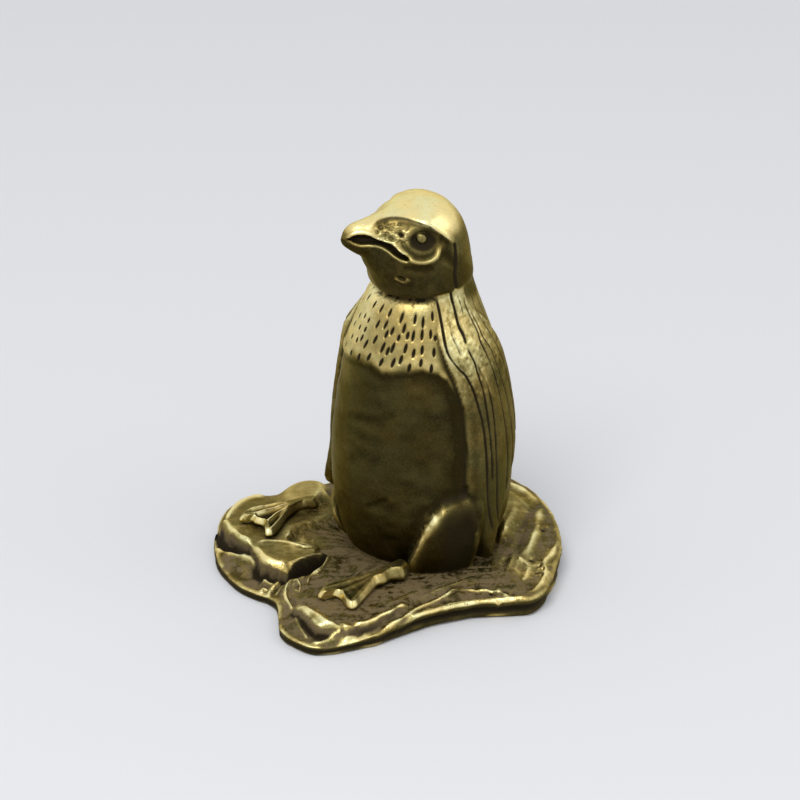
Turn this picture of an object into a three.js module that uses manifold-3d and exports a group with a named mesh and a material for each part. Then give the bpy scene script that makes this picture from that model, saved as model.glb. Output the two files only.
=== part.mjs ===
// Small cast brass penguin, 40 mm tall, standing on a ledge of folded rock with its left foot forward
// and its head turned to its right. It is built up from the forms that its wax pattern joins: the rock,
// trunk, head, two flippers, two thighs, two webbed feet and the tail.
// Millimetres, +Z up. The bird faces -Y, its left side is +X, and the origin is on the ground under the
// middle of the rock.

import * as THREE from "three";
import { mergeVertices } from "three/addons/utils/BufferGeometryUtils.js";
import Module from "manifold-3d";

const wasm = await Module();
wasm.setup();

// Fits
const seatGap = 0.3; // between curved faces that meet
const seatDepth = 0.35; // how deep the bird is let into the rock

// Rock
const rockWidth = 35.3;
const rockDepth = 37.1;
const rockLevel = 2.65; // most of its top
const ledgeLevel = 3.4; // ledge under the right foot
const humpLevel = 4.25; // hump behind that foot
const leafLevel = 1.25; // sunken leaf in front of the ledge
const lobeLevel = 1.35; // front lobe
const foldLevel = 2.6; // foot of the fold behind that lobe
const leastRock = 0.8; // thinnest top
const holeFloor = 0.6; // pocket between the two front leaves
const lipRise = 0.28; // how far a fold's lip stands over the top that it carries
const lipWidth = 0.45;
const foldReach = 1.0; // how far from its lip a fold lifts the top
const foldDrop = 0.45; // the same on the side that drops away
const rimReach = 1.1; // how far from the rim its level is felt
const rimRound = 0.5; // radius of the rounded rim
const rimBelly = 0.7; // share of the rock's height at which the rim is widest
const rimUndercut = 0.75; // how far the rim draws in again at the ground
const rockCentre = [0, -4]; // the point that the rock's rings shrink to

// Trunk
const trunkHeight = 29.2; // seat to neck
const trunkWidth = 18.7;
const trunkDepth = 18.7;

// Neck, where the head is joined on
const neckWidth = 9.9;
const neckDepth = 9.8;
const neckForward = -0.4;

// Head
const headHeight = 9.0; // neck to crown
const headWidth = 10.3;
const headLength = 13.8; // back of the head to the beak's tip
const headTurn = 25; // degrees to the bird's right
const eyeRadius = 0.7;
const eyeInset = 0.2; // how deep the eye's middle lies under its socket's floor
const socketRadius = 1.3;
const socketDepth = 0.35;
const browStep = 0.3; // how far the face lies back under the edge of the brow
const mouthDepth = 0.3;
const mouthWidth = 0.35;
const jowlRise = 0.3; // swell of the head's edge over the neck
const jowlCrease = 0.3; // how deep that edge is undercut at the neck

// Flippers
const shoulderDrop = 3.5; // neck down to the top of the flipper
const flipperThickness = 0.8; // where it lies on the trunk
const flipperBlade = 1.7; // its own thickness where it hangs free
const flipperThinning = 0.7; // share of that which is lost towards the trailing edge
const hangLevel = 11.5; // below this it hangs free of the trunk
const leftTipLevel = 3.1;
const rightTipLevel = 4.9;
const leftTipOutreach = 0.5; // how far the free tip stands out
const rightTipOutreach = 1.9;
const leftSwing = 6; // degrees that the tip swings forward
const rightSwing = 11;

// Thighs
const leftThighHeight = 7.9;
const rightThighHeight = 5.0;
const thighLean = 10; // degrees that its top lies further back than its foot
const thighStand = 1.5; // how far it stands out from the trunk
const leftThighBearings = [32, 75]; // degrees from straight ahead, leading and trailing edge
const rightThighBearings = [48, 68];

// Feet
const leftFootLength = 9.6; // heel to the longest toe's tip
const rightFootLength = 8.4;
const leftHeelBearing = 28.6; // degrees from straight ahead
const rightHeelBearing = 64.3;
const leftStride = 1.8; // trunk's foot to the heel
const rightStride = 4.7;
const ankleThickness = 1.6; // of the foot's top over its pad, at the heel
const toeThickness = 0.9; // at the middle toe's tip
const padStand = 0.15; // how far a foot's pad stands over the rock around it
const heelRadius = 0.85;
const toeRadius = 0.6;
const webReach = 0.86; // share of the toes' length that the web fills

// Tail
const tailLength = 5.0; // from the trunk's back to the tip
const tailWidth = 9.5;
const tailRise = 6.8; // height of its root above the seat
const tailTip = 1.35; // thickness
const tailNarrowing = 0.45; // share of its width that is lost by the tip
const tailBuried = 3; // how far its blank runs into the trunk before it is cut back

// Facets
const trunkSides = 40;
const headSides = 56;
const leafSides = 20;
const rowsPerStation = 2;
const headRowsPerStation = 3;
const tailSides = 16;
const tailRows = 7;
const thighRows = 9;
const rockSides = 140;
const rockRings = 18;
const rimSteps = 3;

const seatLevel = rockLevel - seatDepth;
const neckLevel = seatLevel + trunkHeight;
const headroom = 9; // how high the rock is cleared over a foot or a pocket

const radians = THREE.MathUtils.degToRad;
const smooth = (a, b, x) => THREE.MathUtils.smoothstep(x, a, b);
const fade = (a, b, x) => 1 - smooth(a, b, x);
const mix = THREE.MathUtils.lerp;

// Turns a closed geometry into a solid, and a solid back into a geometry.
function solidFrom(geometry) {
  const bare = new THREE.BufferGeometry().setAttribute("position", geometry.getAttribute("position"));
  bare.setIndex(geometry.index);
  const merged = mergeVertices(bare, 1e-4);
  return new wasm.Manifold(
    new wasm.Mesh({
      numProp: 3,
      vertProperties: merged.attributes.position.array,
      triVerts: new Uint32Array(merged.index.array),
    }),
  );
}

function geometryFrom(solid) {
  const made = solid.getMesh();
  const geometry = new THREE.BufferGeometry();
  geometry.setAttribute("position", new THREE.BufferAttribute(Float32Array.from(made.vertProperties), 3));
  geometry.setIndex(new THREE.BufferAttribute(made.triVerts, 1));
  geometry.computeVertexNormals();
  return geometry;
}

// Skins rings of points, each running the same way round, and closes both ends on the ring's middle.
function skin(rings) {
  const sides = rings[0].length;
  const middle = (ring) => ring.reduce((sum, p) => sum.add(p), new THREE.Vector3()).divideScalar(sides);
  const points = [...rings.flat(), middle(rings[0]), middle(rings[rings.length - 1])];
  const first = points.length - 2;
  const index = [];
  for (let row = 0; row < rings.length - 1; row++)
    for (let side = 0; side < sides; side++) {
      const a = row * sides + side;
      const b = row * sides + ((side + 1) % sides);
      index.push(a, b, b + sides, a, b + sides, a + sides);
    }
  const last = (rings.length - 1) * sides;
  for (let side = 0; side < sides; side++) {
    const next = (side + 1) % sides;
    index.push(first, next, side);
    index.push(first + 1, last + side, last + next);
  }
  const geometry = new THREE.BufferGeometry().setFromPoints(points);
  geometry.setIndex(index);
  return geometry;
}

// A smooth table: shares that run through hand-placed rows, read at any row number.
function tableOf(rows) {
  const columns = rows[0].map(
    (_, column) => new THREE.SplineCurve(rows.map((row) => new THREE.Vector2(row[column], 0))),
  );
  return (at) => columns.map((curve) => curve.getPoint(at / (rows.length - 1)).x);
}

// Trunk
// Each row: height, half width, reach to the back, reach to the front, as shares of the trunk's own sizes.
const trunkRows = [
  [0.0, 0.76, -0.77, 0.72],
  [0.065, 0.88, -0.89, 0.86],
  [0.17, 0.97, -0.98, 0.965],
  [0.31, 1.0, -1.0, 1.0],
  [0.45, 0.99, -0.985, 0.975],
  [0.59, 0.93, -0.93, 0.92],
  [0.73, 0.83, -0.84, 0.84],
  [0.85, 0.7, -0.72, 0.73],
  [0.94, 0.595, -0.625, 0.6],
  [
    1,
    neckWidth / trunkWidth,
    (neckForward - neckDepth / 2) / (trunkDepth / 2),
    (neckForward + neckDepth / 2) / (trunkDepth / 2),
  ],
];
const trunkShape = tableOf(trunkRows);
const trunkStations = trunkRows.length - 1;

function trunkSection(at) {
  const [height, width, back, front] = trunkShape(at);
  return {
    z: seatLevel + trunkHeight * height,
    halfWidth: (width * trunkWidth) / 2,
    back: (back * trunkDepth) / 2,
    front: (front * trunkDepth) / 2,
  };
}

// The row number at a height above the ground.
function trunkRowAt(z) {
  let low = 0;
  let high = trunkStations;
  for (let i = 0; i < 30; i++) {
    const middle = (low + high) / 2;
    if (trunkSection(middle).z < z) low = middle;
    else high = middle;
  }
  return (low + high) / 2;
}

// How far the trunk reaches from its axis at a bearing, in degrees from straight ahead towards its left.
function trunkReach(bearing, z) {
  const { halfWidth, back, front } = trunkSection(trunkRowAt(z));
  const half = (front - back) / 2;
  const offset = (front + back) / 2;
  const c = Math.cos(radians(bearing));
  const s = Math.sin(radians(bearing));
  // The distance along the bearing at which (s/halfWidth)^2 + ((r*c - offset)/half)^2 reaches 1.
  const a = (s / halfWidth) ** 2 + (c / half) ** 2;
  const b = (-2 * c * offset) / half ** 2;
  const k = (offset / half) ** 2 - 1;
  return (-b + Math.sqrt(b * b - 4 * a * k)) / (2 * a);
}

const polar = (bearing, reach, z) =>
  new THREE.Vector3(Math.sin(radians(bearing)) * reach, -Math.cos(radians(bearing)) * reach, z);

// A level ring of the trunk, or of the trunk grown by a gap.
function trunkRing(at, grow = 0) {
  const { z, halfWidth, back, front } = trunkSection(at);
  return Array.from({ length: trunkSides }, (_, i) => {
    const turn = (2 * Math.PI * i) / trunkSides;
    const forward = (front + back) / 2 + ((front - back) / 2 + grow) * Math.cos(turn);
    return new THREE.Vector3((halfWidth + grow) * Math.sin(turn), -forward, z);
  });
}

function trunkSkin(grow = 0) {
  const rings = [];
  for (let row = 0; row <= trunkStations * rowsPerStation; row++)
    rings.push(trunkRing(row / rowsPerStation, grow));
  if (!grow) return skin(rings);
  const below = rings[0].map((p) => p.clone().setZ(seatLevel - 2 * grow));
  const above = rings[rings.length - 1].map((p) => p.clone().setZ(neckLevel + 2 * grow));
  return skin([below, ...rings, above]);
}

// Head
// Each row: the crown line (forward, up), the throat line (forward, up), the half width, and how much
// fuller the section is towards the crown. Forward is a share of the head's length from the trunk's axis,
// up is a share of its height from the neck. The first row is the neck.
const neckRow = [
  (neckForward - neckDepth / 2) / headLength,
  0,
  (neckForward + neckDepth / 2) / headLength,
  0,
  neckWidth / headWidth,
  0,
];
const headRows = [
  neckRow,
  [-0.377, 0.133, 0.359, 0.039, 1, 0],
  [-0.362, 0.289, 0.384, 0.122, 1, 0],
  [-0.344, 0.456, 0.409, 0.211, 0.981, 0.02],
  [-0.319, 0.611, 0.431, 0.278, 0.951, 0.06],
  [-0.275, 0.772, 0.446, 0.333, 0.913, 0.12],
  [-0.181, 0.922, 0.457, 0.378, 0.845, 0.2],
  [-0.051, 1, 0.467, 0.4, 0.738, 0.28],
  [0.083, 0.961, 0.478, 0.417, 0.612, 0.3],
  [0.207, 0.867, 0.493, 0.433, 0.476, 0.22],
  [0.319, 0.817, 0.511, 0.45, 0.369, 0.1],
  [0.413, 0.822, 0.536, 0.478, 0.291, 0],
  [0.504, 0.811, 0.569, 0.517, 0.214, 0],
  [0.572, 0.75, 0.601, 0.567, 0.126, 0],
  [0.61, 0.667, 0.616, 0.611, 0.049, 0],
];
const headShape = tableOf(headRows);
const headStations = headRows.length - 1;
const turnStations = 4; // the head comes round over these first rows

// The loft without its relief, and before the head is turned.
function headLoft(at, turn) {
  const [backForward, backUp, frontForward, frontUp, width, full] = headShape(at);
  const share = (1 + Math.cos(turn)) / 2;
  const forward = mix(backForward, frontForward, share) * headLength;
  const up = mix(backUp, frontUp, share) * headHeight;
  const across = (width * headWidth * Math.sin(turn) * (1 - full * Math.cos(turn))) / 2;
  return new THREE.Vector3(across, -forward, neckLevel + up);
}

// Lines on the side of the head, as shares of its length forward and of its height up.
const browLine = [
  [-0.13, 0.6],
  [-0.03, 0.73],
  [0.05, 0.83],
  [0.11, 0.865],
  [0.17, 0.865],
  [0.23, 0.83],
  [0.32, 0.81],
  [0.43, 0.78],
];
const mouthLine = [
  [0.22, 0.49],
  [0.275, 0.53],
  [0.33, 0.59],
  [0.41, 0.645],
  [0.48, 0.667],
  [0.55, 0.67],
  [0.6, 0.66],
];
const eyePlace = [0.121, 0.717];

// How high a line of points is at x, and level past its ends.
function heightOfLine(x, line) {
  const after = line.findIndex(([px]) => px > x);
  if (after === 0) return line[0][1];
  if (after < 0) return line[line.length - 1][1];
  const [[ax, ay], [bx, by]] = [line[after - 1], line[after]];
  return mix(ay, by, (x - ax) / (bx - ax));
}

const bell = (away, width) => Math.exp(-((away / width) ** 2));

// How far the head's relief stands out from the loft: the edge of the brow, the eye's socket, the mouth and
// the jowl over the neck.
function headRelief(point, at) {
  const forward = -point.y;
  const up = point.z - neckLevel;
  const onSide = smooth(0.25, 0.9, Math.abs(point.x)) * smooth(0.2, 1, at);
  const length = smooth(-1.9, -0.9, forward) * fade(4.6, 6.2, forward);
  const under = heightOfLine(forward / headLength, browLine) * headHeight - up;
  const brow = -browStep * smooth(-0.2, 0.35, under) * fade(1.4, 3.4, under) * length;
  const fromEye = Math.hypot(forward - eyePlace[0] * headLength, up - eyePlace[1] * headHeight);
  const socket = -socketDepth * fade(0.55 * socketRadius, socketRadius, fromEye);
  const fromMouth = heightOfLine(forward / headLength, mouthLine) * headHeight - up;
  const mouthEnds = smooth(3, 3.6, forward) * fade(7.8, 8.4, forward);
  const mouth = -mouthDepth * bell(fromMouth, mouthWidth) * mouthEnds;
  const bearing = THREE.MathUtils.radToDeg(Math.atan2(Math.abs(point.x), forward));
  const ahead = fade(45, 95, bearing);
  const jowl = (jowlRise * bell(at - 1.25, 0.95) - jowlCrease * bell(at, 0.35)) * ahead;
  return (brow + socket + mouth) * onSide + jowl;
}

const outFromHead = (at, turn) => {
  const along = headLoft(at + 0.05, turn).sub(headLoft(at - 0.05, turn));
  const round = headLoft(at, turn + 0.05).sub(headLoft(at, turn - 0.05));
  return round.cross(along).normalize();
};

function headPoint(at, turn) {
  const point = headLoft(at, turn);
  const within = THREE.MathUtils.clamp(at, 0.05, headStations - 0.05);
  point.addScaledVector(outFromHead(within, turn), headRelief(point, at));
  if (at <= 0) point.z = neckLevel;
  point.z = Math.max(point.z, neckLevel);
  return point.applyAxisAngle(new THREE.Vector3(0, 0, 1), -radians(headTurn * smooth(0, turnStations, at)));
}

function headSkin() {
  const rings = [];
  for (let row = 0; row <= headStations * headRowsPerStation; row++) {
    const at = row / headRowsPerStation;
    rings.push(Array.from({ length: headSides }, (_, i) => headPoint(at, (2 * Math.PI * i) / headSides)));
  }
  return skin(rings);
}

// The eye: a ball half sunk into the side of the head. Side is 1 for its left.
const eyeRow = 6.4;
const eyeTurn = 98; // degrees round the head's section from the throat

function eyeBall(side) {
  const turn = side * radians(eyeTurn);
  const middle = headPoint(eyeRow, turn);
  const along = headPoint(eyeRow + 0.2, turn).sub(headPoint(eyeRow - 0.2, turn));
  const round = headPoint(eyeRow, turn + side * 0.1).sub(headPoint(eyeRow, turn - side * 0.1));
  const out = round.cross(along).normalize();
  if (out.x * side < 0) out.negate();
  middle.addScaledVector(out, -eyeInset);
  return solidFrom(new THREE.SphereGeometry(eyeRadius, 16, 10).translate(...middle));
}

// A leaf that lies on the trunk, domed outside. For a share of its rows, section gives its level, the
// bearings of its leading and trailing edge, and its inner and outer reach at a bearing.
function leafSkin(side, rowCount, section) {
  const rings = [];
  for (let row = 0; row <= rowCount; row++) {
    const { z, lead, trail, inner, outer } = section(row / rowCount);
    rings.push(
      Array.from({ length: leafSides }, (_, i) => {
        const turn = (2 * Math.PI * i) / leafSides;
        const bearing = mix(lead, trail, (1 + Math.cos(turn)) / 2);
        const dome = Math.max(0, Math.sin(turn)) ** 0.6;
        return polar(side * bearing, mix(inner(bearing), outer(bearing), dome), z);
      }),
    );
  }
  return skin(side > 0 ? rings : rings.reverse());
}

// Flippers
// Each row: how far down, bearing of the leading and trailing edge, and share of the full thickness.
const flipperRows = [
  [0.0, 76, 106, 0.45],
  [0.05, 61, 120, 0.8],
  [0.15, 64, 128, 1.0],
  [0.3, 73, 130, 1.0],
  [0.5, 77.5, 128, 1.0],
  [0.7, 79, 122, 1.0],
  [0.85, 82, 113, 1.0],
  [0.95, 85, 103, 0.95],
  [1.0, 89, 97, 0.75],
];
const flipperShape = tableOf(flipperRows);

function flipperSkin(side, tipLevel, flare, swing) {
  const last = flipperRows.length - 1;
  return leafSkin(side, last * rowsPerStation, (share) => {
    const [down, leadAt, trailAt, full] = flipperShape(share * last);
    const lead = leadAt - swing * down * down;
    const trail = trailAt - swing * down * down;
    const z = mix(neckLevel - shoulderDrop, tipLevel, down);
    const hang = Math.max(0, (hangLevel - z) / (hangLevel - tipLevel));
    const face = (bearing) => trunkReach(bearing, Math.max(z, hangLevel)) + flare * hang * hang;
    const outer = (bearing) => {
      const thinning = (flipperThinning * (bearing - lead)) / (trail - lead);
      return face(bearing) + seatGap + flipperThickness * full * (1 - thinning);
    };
    const inner = (bearing) =>
      Math.max(trunkReach(bearing, z) + seatGap, outer(bearing) - flipperBlade * full);
    return { z, lead, trail, inner, outer };
  });
}

// Thighs: upright leaves with a rounded top, standing on the seat. Grown by a gap, one is the room that
// a foot and the rock leave for it.
function thighSkin(side, height, [front, rear], grow = 0) {
  const growTurn = THREE.MathUtils.radToDeg(grow / (trunkWidth / 2));
  return leafSkin(side, thighRows, (share) => {
    const rise = Math.cos((share * Math.PI) / 2);
    const z = share < 1 ? seatLevel + (height + grow) * rise : seatLevel - grow;
    const spread = Math.sqrt(1 - 0.97 * rise ** 3);
    const middle = (front + rear) / 2 + thighLean * rise ** 2;
    const half = ((rear - front) / 2 + growTurn) * spread;
    const stand = thighStand * Math.sqrt(1 - 0.9 * rise ** 4);
    const inner = (bearing) => trunkReach(bearing, z) + seatGap - grow;
    const outer = (bearing) => trunkReach(bearing, z) + seatGap + stand + grow;
    return { z, lead: middle - half, trail: middle + half, inner, outer };
  });
}

// Feet: the heel's place, the level of the pad under the foot, then each toe's bearing from straight
// ahead and its length, from the bird's right to its left.
const leftFoot = {
  heel: heelPlace(leftHeelBearing, leftStride),
  pad: rockLevel + padStand,
  toes: [
    [-24, 0.84 * leftFootLength],
    [-13, leftFootLength],
    [10, 0.96 * leftFootLength],
  ],
};
const rightFoot = {
  heel: heelPlace(-rightHeelBearing, rightStride),
  pad: ledgeLevel + padStand,
  toes: [
    [-27, 0.81 * rightFootLength],
    [-14, 0.98 * rightFootLength],
    [16, rightFootLength],
  ],
};

function heelPlace(bearing, stride) {
  const { x, y } = polar(bearing, trunkReach(bearing, rockLevel) + stride, 0);
  return [x, y];
}

// The foot's outline: round the heel, out to each toe and in to the web between two toes.
function footOutline({ heel, toes }, grow = 0) {
  const at = (bearing, reach) => {
    const p = polar(bearing, reach, 0);
    return new THREE.Vector2(heel[0] + p.x, heel[1] + p.y);
  };
  const points = [toes[0][0] - 100, 180, toes[2][0] + 100].map((bearing) => at(bearing, heelRadius));
  for (let i = toes.length - 1; i >= 0; i--) {
    const [bearing, length] = toes[i];
    const spread = THREE.MathUtils.radToDeg(toeRadius / length);
    points.push(at(bearing + spread, length), at(bearing - spread, length));
    if (i > 0) points.push(at((bearing + toes[i - 1][0]) / 2, (webReach * (length + toes[i - 1][1])) / 2));
  }
  const outline = points.map((p, i) => {
    const before = points[(i + points.length - 1) % points.length];
    const after = points[(i + 1) % points.length];
    const across = after.clone().sub(before).normalize();
    return new THREE.Vector2(p.x - across.y * grow, p.y + across.x * grow);
  });
  return new THREE.Shape(outline);
}

function slab(shape, low, high) {
  const extruded = new THREE.ExtrudeGeometry(shape, { depth: high - low, bevelEnabled: false });
  return solidFrom(extruded.translate(0, 0, low));
}

// The foot's top slopes from the ankle down to the middle toe: a slab is cut by a tilted block.
function footSolid(foot) {
  const blank = slab(footOutline(foot), foot.pad, foot.pad + 2 * ankleThickness);
  const [heading, reach] = foot.toes[1];
  const block = new THREE.BoxGeometry(4 * reach, 4 * reach, 2 * reach)
    .translate(0, 0, reach)
    .rotateX(Math.atan2(ankleThickness - toeThickness, reach))
    .rotateZ(radians(heading))
    .translate(foot.heel[0], foot.heel[1], foot.pad + ankleThickness);
  return blank.subtract(solidFrom(block));
}

// Tail: a wedge that comes down off the back onto the rock.
function tailWedge() {
  const root = trunkDepth / 2 - tailBuried;
  const tip = trunkDepth / 2 + tailLength;
  const rings = [];
  for (let row = 0; row <= tailRows; row++) {
    const t = row / tailRows;
    const halfWidth = (tailWidth / 2) * (1 - tailNarrowing * t * t);
    const top = seatLevel + (tailRise - tailTip) * (1 - t) ** 1.3 + tailTip * (1 - 0.8 * t ** 6);
    const y = mix(root, tip, t);
    rings.push(
      Array.from({ length: tailSides }, (_, i) => {
        const turn = (2 * Math.PI * i) / tailSides;
        const up = Math.max(0, Math.sin(turn)) ** 0.8;
        return new THREE.Vector3(-halfWidth * Math.cos(turn), y, mix(seatLevel - 1, top, up));
      }),
    );
  }
  return skin(rings);
}

// Rock
// Its outline in plan with the level of its rim, anticlockwise from the front lobe, as seen from above.
const rockOutline = [
  [-0.7, -20.4, 1.0],
  [0.8, -21.8, 1.0],
  [2.3, -22.4, 1.05],
  [4.0, -22.5, 1.05],
  [5.6, -22.2, 1.0],
  [6.9, -21.0, 1.0],
  [8.0, -19.2, 1.2],
  [9.1, -17.0, 1.5],
  [9.8, -14.8, 1.85],
  [10.4, -12.8, 2.15],
  [11.0, -10.6, 2.1],
  [12.0, -8.4, 2.1],
  [13.1, -6.5, 2.15],
  [14.5, -4.9, 2.2],
  [16.1, -3.2, 2.2],
  [17.0, -1.9, 2.15],
  [16.9, 0.0, 2.2],
  [15.9, 2.3, 2.4],
  [14.4, 5.0, 2.7],
  [12.8, 7.5, 2.85],
  [9.8, 10.4, 3.0],
  [6.2, 12.9, 2.9],
  [1.8, 14.6, 2.7],
  [-3.2, 14.4, 2.6],
  [-7.8, 12.4, 2.6],
  [-11.4, 9.2, 2.5],
  [-13.4, 5.2, 2.3],
  [-14.8, 1.4, 2.0],
  [-16.3, -2.4, 1.9],
  [-17.7, -5.8, 2.3],
  [-18.2, -8.6, 2.5],
  [-17.9, -10.9, 2.0],
  [-17.0, -12.6, 1.3],
  [-15.8, -14.2, 1.0],
  [-14.4, -15.5, 0.9],
  [-13.0, -16.6, 0.9],
  [-11.5, -17.4, 0.9],
  [-9.9, -18.0, 0.9],
  [-7.0, -18.5, 0.9],
  [-4.2, -18.2, 1.0],
  [-2.6, -18.7, 1.0],
];
const closedCurve = (points) =>
  new THREE.CatmullRomCurve3(
    points.map(([x, y, z]) => new THREE.Vector3(x, y, z)),
    true,
    "catmullrom",
  );
const boxOf = (curve) => new THREE.Box3().setFromPoints(curve.getPoints(400));

// Everything drawn on the rock in plan is stretched with it to its named width and depth.
const drawnSize = boxOf(closedCurve(rockOutline)).getSize(new THREE.Vector3());
const onRock = (points) =>
  points.map(([x, y, z]) => [(x * rockWidth) / drawnSize.x, (y * rockDepth) / drawnSize.y, z]);
const rockRim = closedCurve(onRock(rockOutline));

// Terraces: closed outlines in plan, each with its level and the width of its slope.
const terraces = [
  {
    // the ledge that carries the right foot
    level: ledgeLevel,
    slope: 0.7,
    outline: [
      [-19, -6.2],
      [-19, -11],
      [-16.6, -12],
      [-14.4, -13.9],
      [-11.8, -14.6],
      [-9.6, -15],
      [-7.5, -15.8],
      [-5.6, -15.7],
      [-4.3, -13.9],
      [-3.7, -11.8],
      [-5.2, -10.2],
      [-7.6, -11.6],
      [-9, -8],
      [-9, -4],
      [-12, -3.6],
    ],
  },
  {
    // the sunken leaf in front of that ledge
    level: leafLevel,
    slope: 0.7,
    outline: [
      [-19, -12.4],
      [-16.4, -13],
      [-14.2, -14.3],
      [-11.8, -15],
      [-9.6, -15.4],
      [-7.5, -16.3],
      [-5.6, -16.4],
      [-3.9, -15.6],
      [-3.4, -17.4],
      [-4, -21],
      [-18, -20],
    ],
  },
  {
    // the front lobe
    level: lobeLevel,
    slope: 0.8,
    outline: [
      [-3.3, -17.4],
      [-0.9, -18.8],
      [1.2, -19.5],
      [3.3, -20.2],
      [5, -20.6],
      [7.2, -19],
      [8.6, -16.6],
      [9.2, -13.4],
      [12, -12.6],
      [9, -24],
      [-4, -24],
    ],
  },
];

// The hump behind the right foot.
const hump = { middle: [-12.7, -3.7], half: [2.9, 4.1], turn: 12 };

// Folds: a line in plan with the level that it carries the top to, and the side that drops away, 1 for its
// left as it is drawn, -1 for its right and 0 for neither.
const folds = [
  { level: ledgeLevel, drop: -1, line: [[-16.3, -12.1], [-13.7, -13.8], [-9.8, -14.5]] },
  { level: ledgeLevel - 0.15, drop: -1, line: [[-9.6, -14.4], [-7.5, -15.4], [-5.8, -15.4], [-4.8, -14.5]] },
  { level: ledgeLevel - 0.15, drop: -1, line: [[-4.8, -14.5], [-4.2, -13.2], [-3.4, -10.5]] },
  { level: ledgeLevel - 0.1, drop: 1, line: [[-15.9, -12.4], [-17, -9.6], [-16.8, -7], [-15.7, -6.3]] },
  { level: leafLevel + 0.8, drop: 1, line: [[-13.6, -15.2], [-11, -15.5], [-9.5, -15.5], [-8, -16.1]] },
  { level: leafLevel + 0.1, drop: 0, line: [[-4.3, -18.2], [-4.8, -16.7], [-4.6, -16]] },
  { level: lobeLevel + 0.6, drop: 1, line: [[-3.5, -15.8], [-1.9, -18], [0.3, -19.3]] },
  { level: rockLevel, drop: 1, line: [[-1.3, -15.5], [-2.2, -13.7], [-3.1, -10.3]] },
  { level: foldLevel, drop: -1, line: [[0.7, -18.7], [3, -19.3], [6, -19.4], [7.5, -17.9], [8.2, -15], [8.6, -11.5]] },
  { level: lobeLevel - 0.1, drop: 0, line: [[1, -19.8], [2.5, -20.7], [4.5, -21.6]] },
  { level: lobeLevel - 0.1, drop: 0, line: [[5, -21.7], [6, -20.7], [6.8, -18.9]] },
  { level: rockLevel - 0.5, drop: -1, line: [[9.3, -15], [9.7, -11.9], [10.3, -7.5]] },
  { level: rockLevel - 0.2, drop: -1, line: [[10.4, -6.4], [12.5, -4.4], [13.8, -2.6], [14.8, -2.6]] },
  { level: rockLevel - 0.1, drop: 0, line: [[14.3, 3], [13.3, 4.9], [12.3, 7.5]] },
  { level: rockLevel + 0.1, drop: -1, line: [[6.9, 11], [9.4, 7.1], [11.4, 3.3]] },
  { level: rockLevel + 0.1, drop: 1, line: [[-10.8, 8.4], [-5, 11.8], [2.5, 13.2], [6, 12]] },
  { level: rockLevel - 0.1, drop: 1, line: [[-13.2, 3.2], [-12, 6.4], [-10.4, 8.8]] },
];

// The pocket between the two front leaves, in plan.
const hole = [
  [-4, -15.2],
  [-3.1, -15.3],
  [-2.5, -13.7],
  [-2.75, -11.4],
  [-3.25, -10.7],
  [-4, -13.4],
];

// How far a point lies from a line of points, the side that it lies on, 1 for left and -1 for right, and
// the line's level there.
function nearestOnLine(x, y, line, closed = false) {
  let nearest = { away: Infinity };
  const count = closed ? line.length : line.length - 1;
  for (let i = 0; i < count; i++) {
    const [ax, ay, az] = line[i];
    const [bx, by, bz] = line[(i + 1) % line.length];
    const along = ((x - ax) * (bx - ax) + (y - ay) * (by - ay)) / ((bx - ax) ** 2 + (by - ay) ** 2);
    const t = THREE.MathUtils.clamp(along, 0, 1);
    const away = Math.hypot(x - mix(ax, bx, t), y - mix(ay, by, t));
    const side = Math.sign((bx - ax) * (y - ay) - (by - ay) * (x - ax));
    if (away < nearest.away) nearest = { away, side, level: mix(az, bz, t) };
  }
  return nearest;
}

function isInside(x, y, outline) {
  let inside = false;
  outline.forEach(([ax, ay], i) => {
    const [bx, by] = outline[(i + 1) % outline.length];
    if (ay > y !== by > y && x < ax + ((y - ay) * (bx - ax)) / (by - ay)) inside = !inside;
  });
  return inside;
}

const terracesInPlace = terraces.map((terrace) => ({ ...terrace, outline: onRock(terrace.outline) }));
const foldsInPlace = folds.map((fold) => ({ ...fold, line: onRock(fold.line) }));
const rimInPlace = onRock(rockOutline);

// The rock's top: terraces first, then each fold and the rim pull it to their own level, more the nearer
// they are. The folds' lips and the hump stand over that, and all fade out under the bird.
function rockTop(x, y) {
  let z = rockLevel;
  for (const { level, slope, outline } of terracesInPlace) {
    const depth = nearestOnLine(x, y, outline, true).away * (isInside(x, y, outline) ? 1 : -1);
    z = mix(z, level, smooth(-slope / 2, slope / 2, depth));
  }
  const rim = nearestOnLine(x, y, rimInPlace, true);
  const pulls = [[0.4, z], [1.6 * bell(rim.away, rimReach), rim.level]];
  let lip = 0;
  for (const { level, drop, line } of foldsInPlace) {
    const { away, side } = nearestOnLine(x, y, line);
    pulls.push([2 * bell(away, side === drop ? foldDrop : foldReach), level]);
    lip = Math.max(lip, lipRise * bell(away, lipWidth));
  }
  const weight = pulls.reduce((sum, [share]) => sum + share, 0);
  z = pulls.reduce((sum, [share, level]) => sum + share * level, 0) / weight;
  const clear = smooth(1.0, 1.12, Math.hypot(x / (trunkWidth / 2), y / (trunkDepth / 2)));
  z = mix(rockLevel, z, clear) + lip * clear;
  const [across, along] = [x - hump.middle[0], y - hump.middle[1]];
  const [c, s] = [Math.cos(radians(hump.turn)), Math.sin(radians(hump.turn))];
  const fromHump = Math.hypot((across * c + along * s) / hump.half[0], (along * c - across * s) / hump.half[1]);
  z += Math.max(0, humpLevel - z) * fade(0.45, 1.05, fromHump) * clear;
  return Math.max(leastRock, z);
}

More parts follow.
